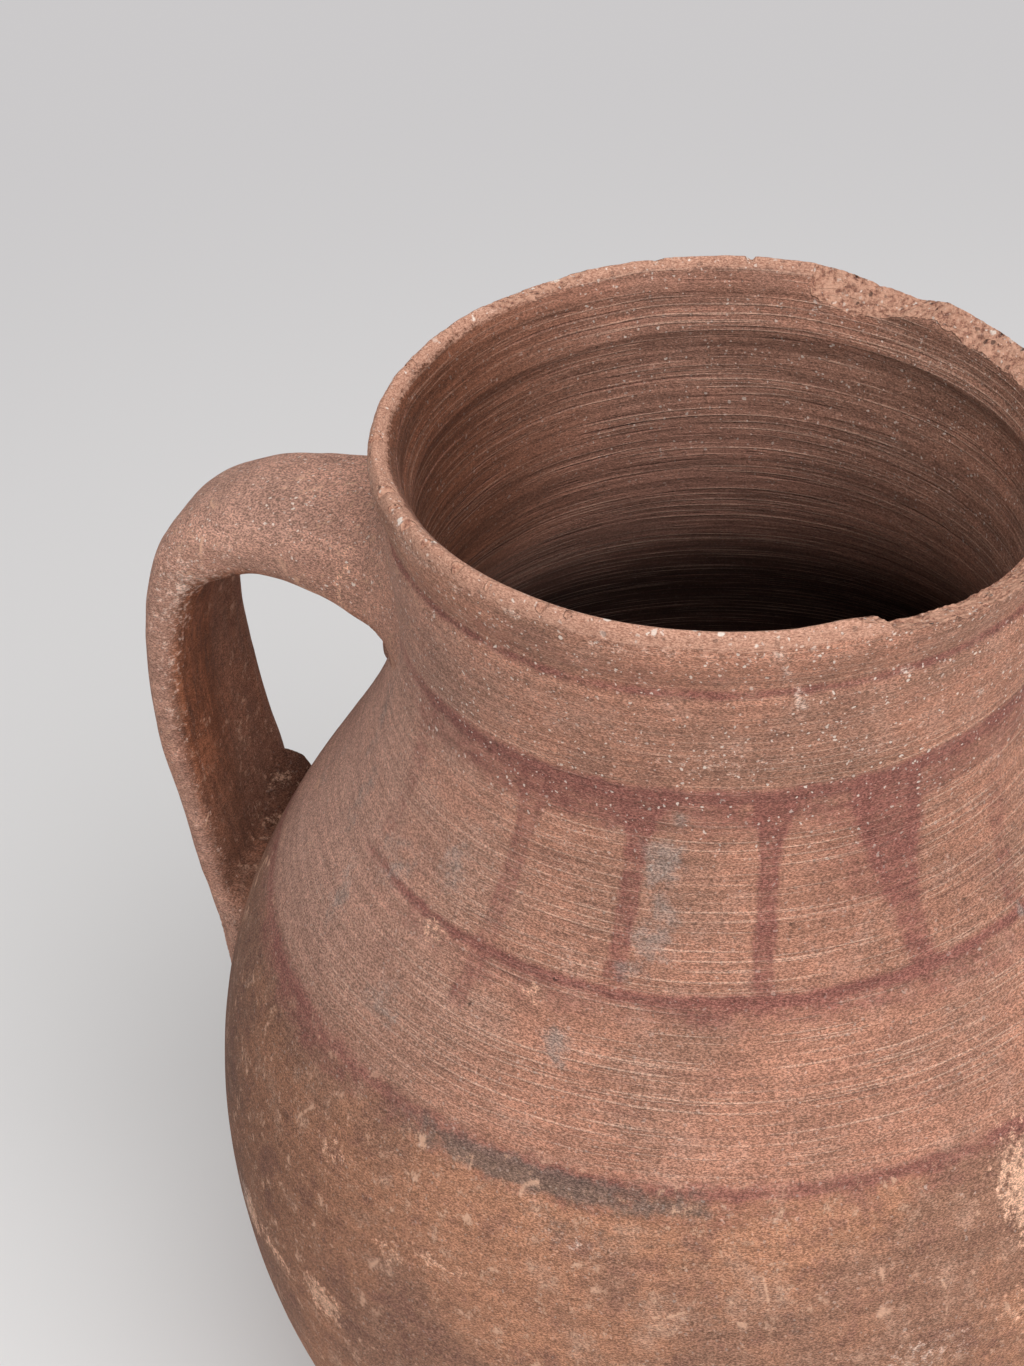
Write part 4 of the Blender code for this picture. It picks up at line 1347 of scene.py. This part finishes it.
    def bare_clay(self, graph: NodeGraph, low: Value, middle: Value) -> Socket:
        """Mottled clay, wiped paler and darker inside, with painted orange bounce light in shaded hollows and painted
        shade where little light reaches, lower inside above all.
        """
        colour = graph.mix(low.span(0.42, 0.58), self.brown, self.orange)
        colour = graph.mix(middle.span(0.50, 0.70, 0.0, 0.36 * self.mottle), colour, self.pink)
        colour = graph.mix(middle.span(0.48, 0.34, 0.0, 0.36 * self.mottle), colour, self.dark_clay_and_shade)
        colour = graph.mix(graph.trait(Trait.WIPED) * 0.70, colour, self.mauve)
        # Inside colour: partly painted shade, laid on more lower down and less on the lit side.
        colour = graph.mix(graph.trait(Trait.INSIDE).span(0.0, 1.0, 0.0, 0.95), colour, self.inner)
        wipe = graph.noise(330.0, 2.0, 0.6, graph.stretched(0.10))
        plain = graph.trait(Trait.TURNED).span(0.0, 0.5, 0.85, 0.0)
        # Painted bounce light, lighter along some wipe marks and painted shade along others.
        bounce_glow = graph.mix(wipe.span(0.52, 0.66) * plain, self.bounce_light, self.bounce_light_streak)
        bounce_glow = graph.mix(wipe.span(0.48, 0.34) * plain, bounce_glow, self.shade)
        colour = graph.mix(graph.trait(Trait.PAINTED_BOUNCE_LIGHT) * 0.88, colour, bounce_glow)
        # Painted shade.
        return graph.mix(graph.trait(Trait.DEPTH) * 0.90, colour, self.painted_shade_tone)

    def patchy(self, graph: NodeGraph, trait: Trait, noise: Value, spread: float, low: float, high: float,
               most: float) -> Value:
        """Cover of a trait that a noise breaks up.

        Args:
            graph: Graph that the nodes go into.
            trait: Painted trait.
            noise: Noise from 0 to 1.
            spread: How much the noise adds or takes.
            low: Sum at which the cover starts.
            high: Sum at which it is full.
            most: Cover where it is full.

        Returns:
            The cover, which is 0 where the trait is.
        """
        painted = graph.trait(trait)
        cover = (painted + (noise - 0.5) * spread).span(low, high, 0.0, most)
        return cover * painted.span(0.02, 0.22)

    def lay_slip(self, graph: NodeGraph, colour: Socket, grain: Value) -> Socket:
        """Lay the worn slip over the clay."""
        worn = graph.noise(105.0, 5.0, 0.76, graph.stretched(2.0)) + (grain - 0.5) * 0.5
        return graph.mix(self.patchy(graph, Trait.SLIP, worn, 1.9, 0.05, 1.05, 0.84), colour, self.slip)

    def smoke_and_scuff(self, graph: NodeGraph, colour: Socket, coarse: Value) -> Socket:
        """Add fire clouds, rubbed places and pale crusts."""
        smoke = graph.mix(graph.height().span(0.262, 0.256), self.smoke, self.grey_slip)
        clouds = graph.noise(190.0, 5.0, 0.72)
        colour = graph.mix(self.patchy(graph, Trait.SMOKE, clouds, 2.2, 0.25, 0.95, 0.72), colour, smoke)
        colour = graph.mix(self.patchy(graph, Trait.SCUFF, coarse, 3.0, 0.30, 0.80, 0.85), colour, self.scuff)
        return graph.mix(self.patchy(graph, Trait.CRUST, coarse, 3.2, 0.50, 1.05, 0.62), colour, self.crust)

    def wear_lip(self, graph: NodeGraph, colour: Socket, coarse: Value, grain: Value) -> tuple[Socket, Value]:
        """Pale the worn lip and colour the broken clay, and return the share that is broken with the colour."""
        pale = graph.mix(grain.span(0.36, 0.62), self.orange, self.lip)
        colour = graph.mix(self.patchy(graph, Trait.WORN, coarse, 2.8, 0.30, 0.85, 0.74), colour, pale)
        broken = graph.trait(Trait.BROKEN).span(0.25, 0.6)
        crumb = graph.noise(560.0, 4.0, 0.75)
        torn = graph.mix(crumb.span(0.40, 0.58), self.orange, self.fracture)
        torn = graph.mix(crumb.span(0.44, 0.36), torn, self.dark_clay_and_shade)
        return graph.mix(broken, colour, torn), broken


@dataclass(frozen=True)
class Studio:
    """Plain pale floor, plain pale surroundings and soft light."""

    floor_tone: Colour = (0.830, 0.824, 0.822)
    floor_lift: float = 0.20
    far_tone: Colour = (0.600, 0.586, 0.592)
    tone_near: float = 0.32
    tone_far: float = 1.15
    floor_size: float = 6.0
    dome_tone: Colour = (1.0, 0.985, 0.97)
    dome: float = 0.34
    lamps: tuple[tuple[str, float, float, tuple[float, float, float]], ...] = (
        ("key", 79.0, 2.6, (1.35, -1.25, 2.40)), ("fill", 13.0, 2.2, (-0.60, -0.60, 2.60)))

    def make(self) -> None:
        """Build the floor, the world and the lamps, each with its power, size and place."""
        self.make_floor()
        self.make_world()
        for name, power, size, place in self.lamps:
            self.make_lamp(name, power, size, place)

    def make_floor(self) -> None:
        """Lay the floor, which fades into the plain far tone away from the jug."""
        mesh = grid_mesh("floor", 2, 2, self.floor_size)
        material = bpy.data.materials.new("pale_floor")
        graph = NodeGraph(material)
        shader = graph.fill(graph.nodes["Principled BSDF"], {
            "Base Color": self.floor_tone, "Roughness": 0.9, "Specular IOR Level": 0.1})
        reach = Value(graph, graph.node("VectorMath", {0: graph.place}, operation="LENGTH").outputs["Value"])
        share = graph.seen() * reach.span(self.tone_near, self.tone_far, self.floor_lift, 1.0)
        plain = graph.node("Emission", {"Color": self.far_tone})
        blend = graph.node("MixShader", {"Fac": share, 1: shader.outputs["BSDF"], 2: plain.outputs["Emission"]})
        graph.fill(graph.nodes["Material Output"], {"Surface": blend.outputs["Shader"]})
        mesh.materials.append(material)
        put_in_scene("floor", mesh)

    def make_world(self) -> None:
        """Light the scene from all round, behind a plain pale background."""
        world = bpy.data.worlds.new("soft_dome")
        bpy.context.scene.world = world
        graph = NodeGraph(world)
        seen = graph.fill(graph.nodes["Background"], {"Color": self.far_tone, "Strength": 1.0})
        light = graph.node("Background", {"Color": self.dome_tone, "Strength": self.dome})
        choose = graph.node("MixShader", {"Fac": graph.seen(), 1: light.outputs["Background"],
                                          2: seen.outputs["Background"]})
        graph.fill(graph.nodes["World Output"], {"Surface": choose.outputs["Shader"]})

    def make_lamp(self, name: str, power: float, size: float, place: tuple[float, float, float]) -> None:
        """Hang a broad soft lamp that faces the jug's shoulder."""
        data = bpy.data.lights.new(name, "AREA")
        data.shape, data.size, data.energy = "DISK", size, power
        lamp = put_in_scene(name, data)
        lamp.location = place
        aim = Vector((0.0, 0.0, SHAPE.body_join)) - Vector(place)
        lamp.rotation_euler = aim.to_track_quat("-Z", "Y").to_euler()


@dataclass(frozen=True)
class PhotoCamera:
    """Camera at the photograph's viewing angle."""

    place: tuple[float, float, float] = (0.1753, -0.5777, 0.7802)
    yaw: float = math.radians(22.37)
    pitch: float = math.radians(37.589)
    roll: float = math.radians(3.245)
    lens: float = 71.157
    sensor: float = 36.0

    def make(self) -> None:
        """Set up the camera and make it the scene's."""
        data = bpy.data.cameras.new("viewpoint")
        data.sensor_fit, data.sensor_width, data.lens, data.clip_start = "AUTO", self.sensor, self.lens, 0.02
        camera = put_in_scene("viewpoint", data)
        turn = (Matrix.Rotation(self.yaw, 4, "Z") @ Matrix.Rotation(-self.pitch, 4, "X")
                @ Matrix.Rotation(self.roll, 4, "Y") @ Matrix.Rotation(math.radians(90.0), 4, "X"))
        camera.matrix_world = Matrix.Translation(self.place) @ turn
        bpy.context.scene.camera = camera


def main() -> None:
    """Build and dress the jug, then set its floor, light and camera."""
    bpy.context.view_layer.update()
    bpy.context.scene.view_settings.view_transform = "Standard"
    PhotoCamera().make()
    Studio().make()
    scraped = FiredClay("scraped_clay_finish", brown=(0.312, 0.158, 0.104), orange=(0.430, 0.204, 0.122),
                        pink=(0.500, 0.300, 0.215), mottle=1.6).make()
    turned = FiredClay("turned_clay_finish").make()
    lip = FiredClay("worn_lip_finish").make()
    handle = FiredClay("handle_clay_finish").make()

    BaseDisc("foot_disc", "base_disc", Slot.SCRAPED, 0.0, SHAPE.foot_step, 0.001, 0.002).make(scraped)
    LowerBody("belly_wall", "lower_body", Slot.SCRAPED, SHAPE.foot_step, SHAPE.body_join, 0.0019, 0.0068).make(scraped)
    TurnedRing("shoulder_wall", "shoulder", Slot.TURNED, SHAPE.body_join, SHAPE.neck_join, 0.00092, 0.0016).make(turned)
    TurnedRing("neck_wall", "neck", Slot.TURNED, SHAPE.neck_join, SHAPE.collar_join, 0.0006, 0.0005).make(turned)
    RimCollar("collar_and_lip", "rim_collar", Slot.LIP, SHAPE.collar_join, SHAPE.top, 0.0005, 0.0005,
              turn_steps=960).make(lip)
    StrapHandle().make(handle)
    LutingWad("upper_lute", "upper_root_wad", 0.0918, 0.3184, (0.0038, 0.0202, 0.0070), 91,
              near_drop=0.0, tilt=0.0, shade=0.2).make(handle)
    LutingWad("lower_lute", "lower_root_wad", 0.1474, 0.2268, (0.0086, 0.0272, 0.0068), 92,
              near_drop=0.0240, tilt=0.0085, shade=0.8).make(handle)


if __name__ == "__main__":
    logging.basicConfig(level=logging.INFO, format="%(name)s: %(message)s")
    main()
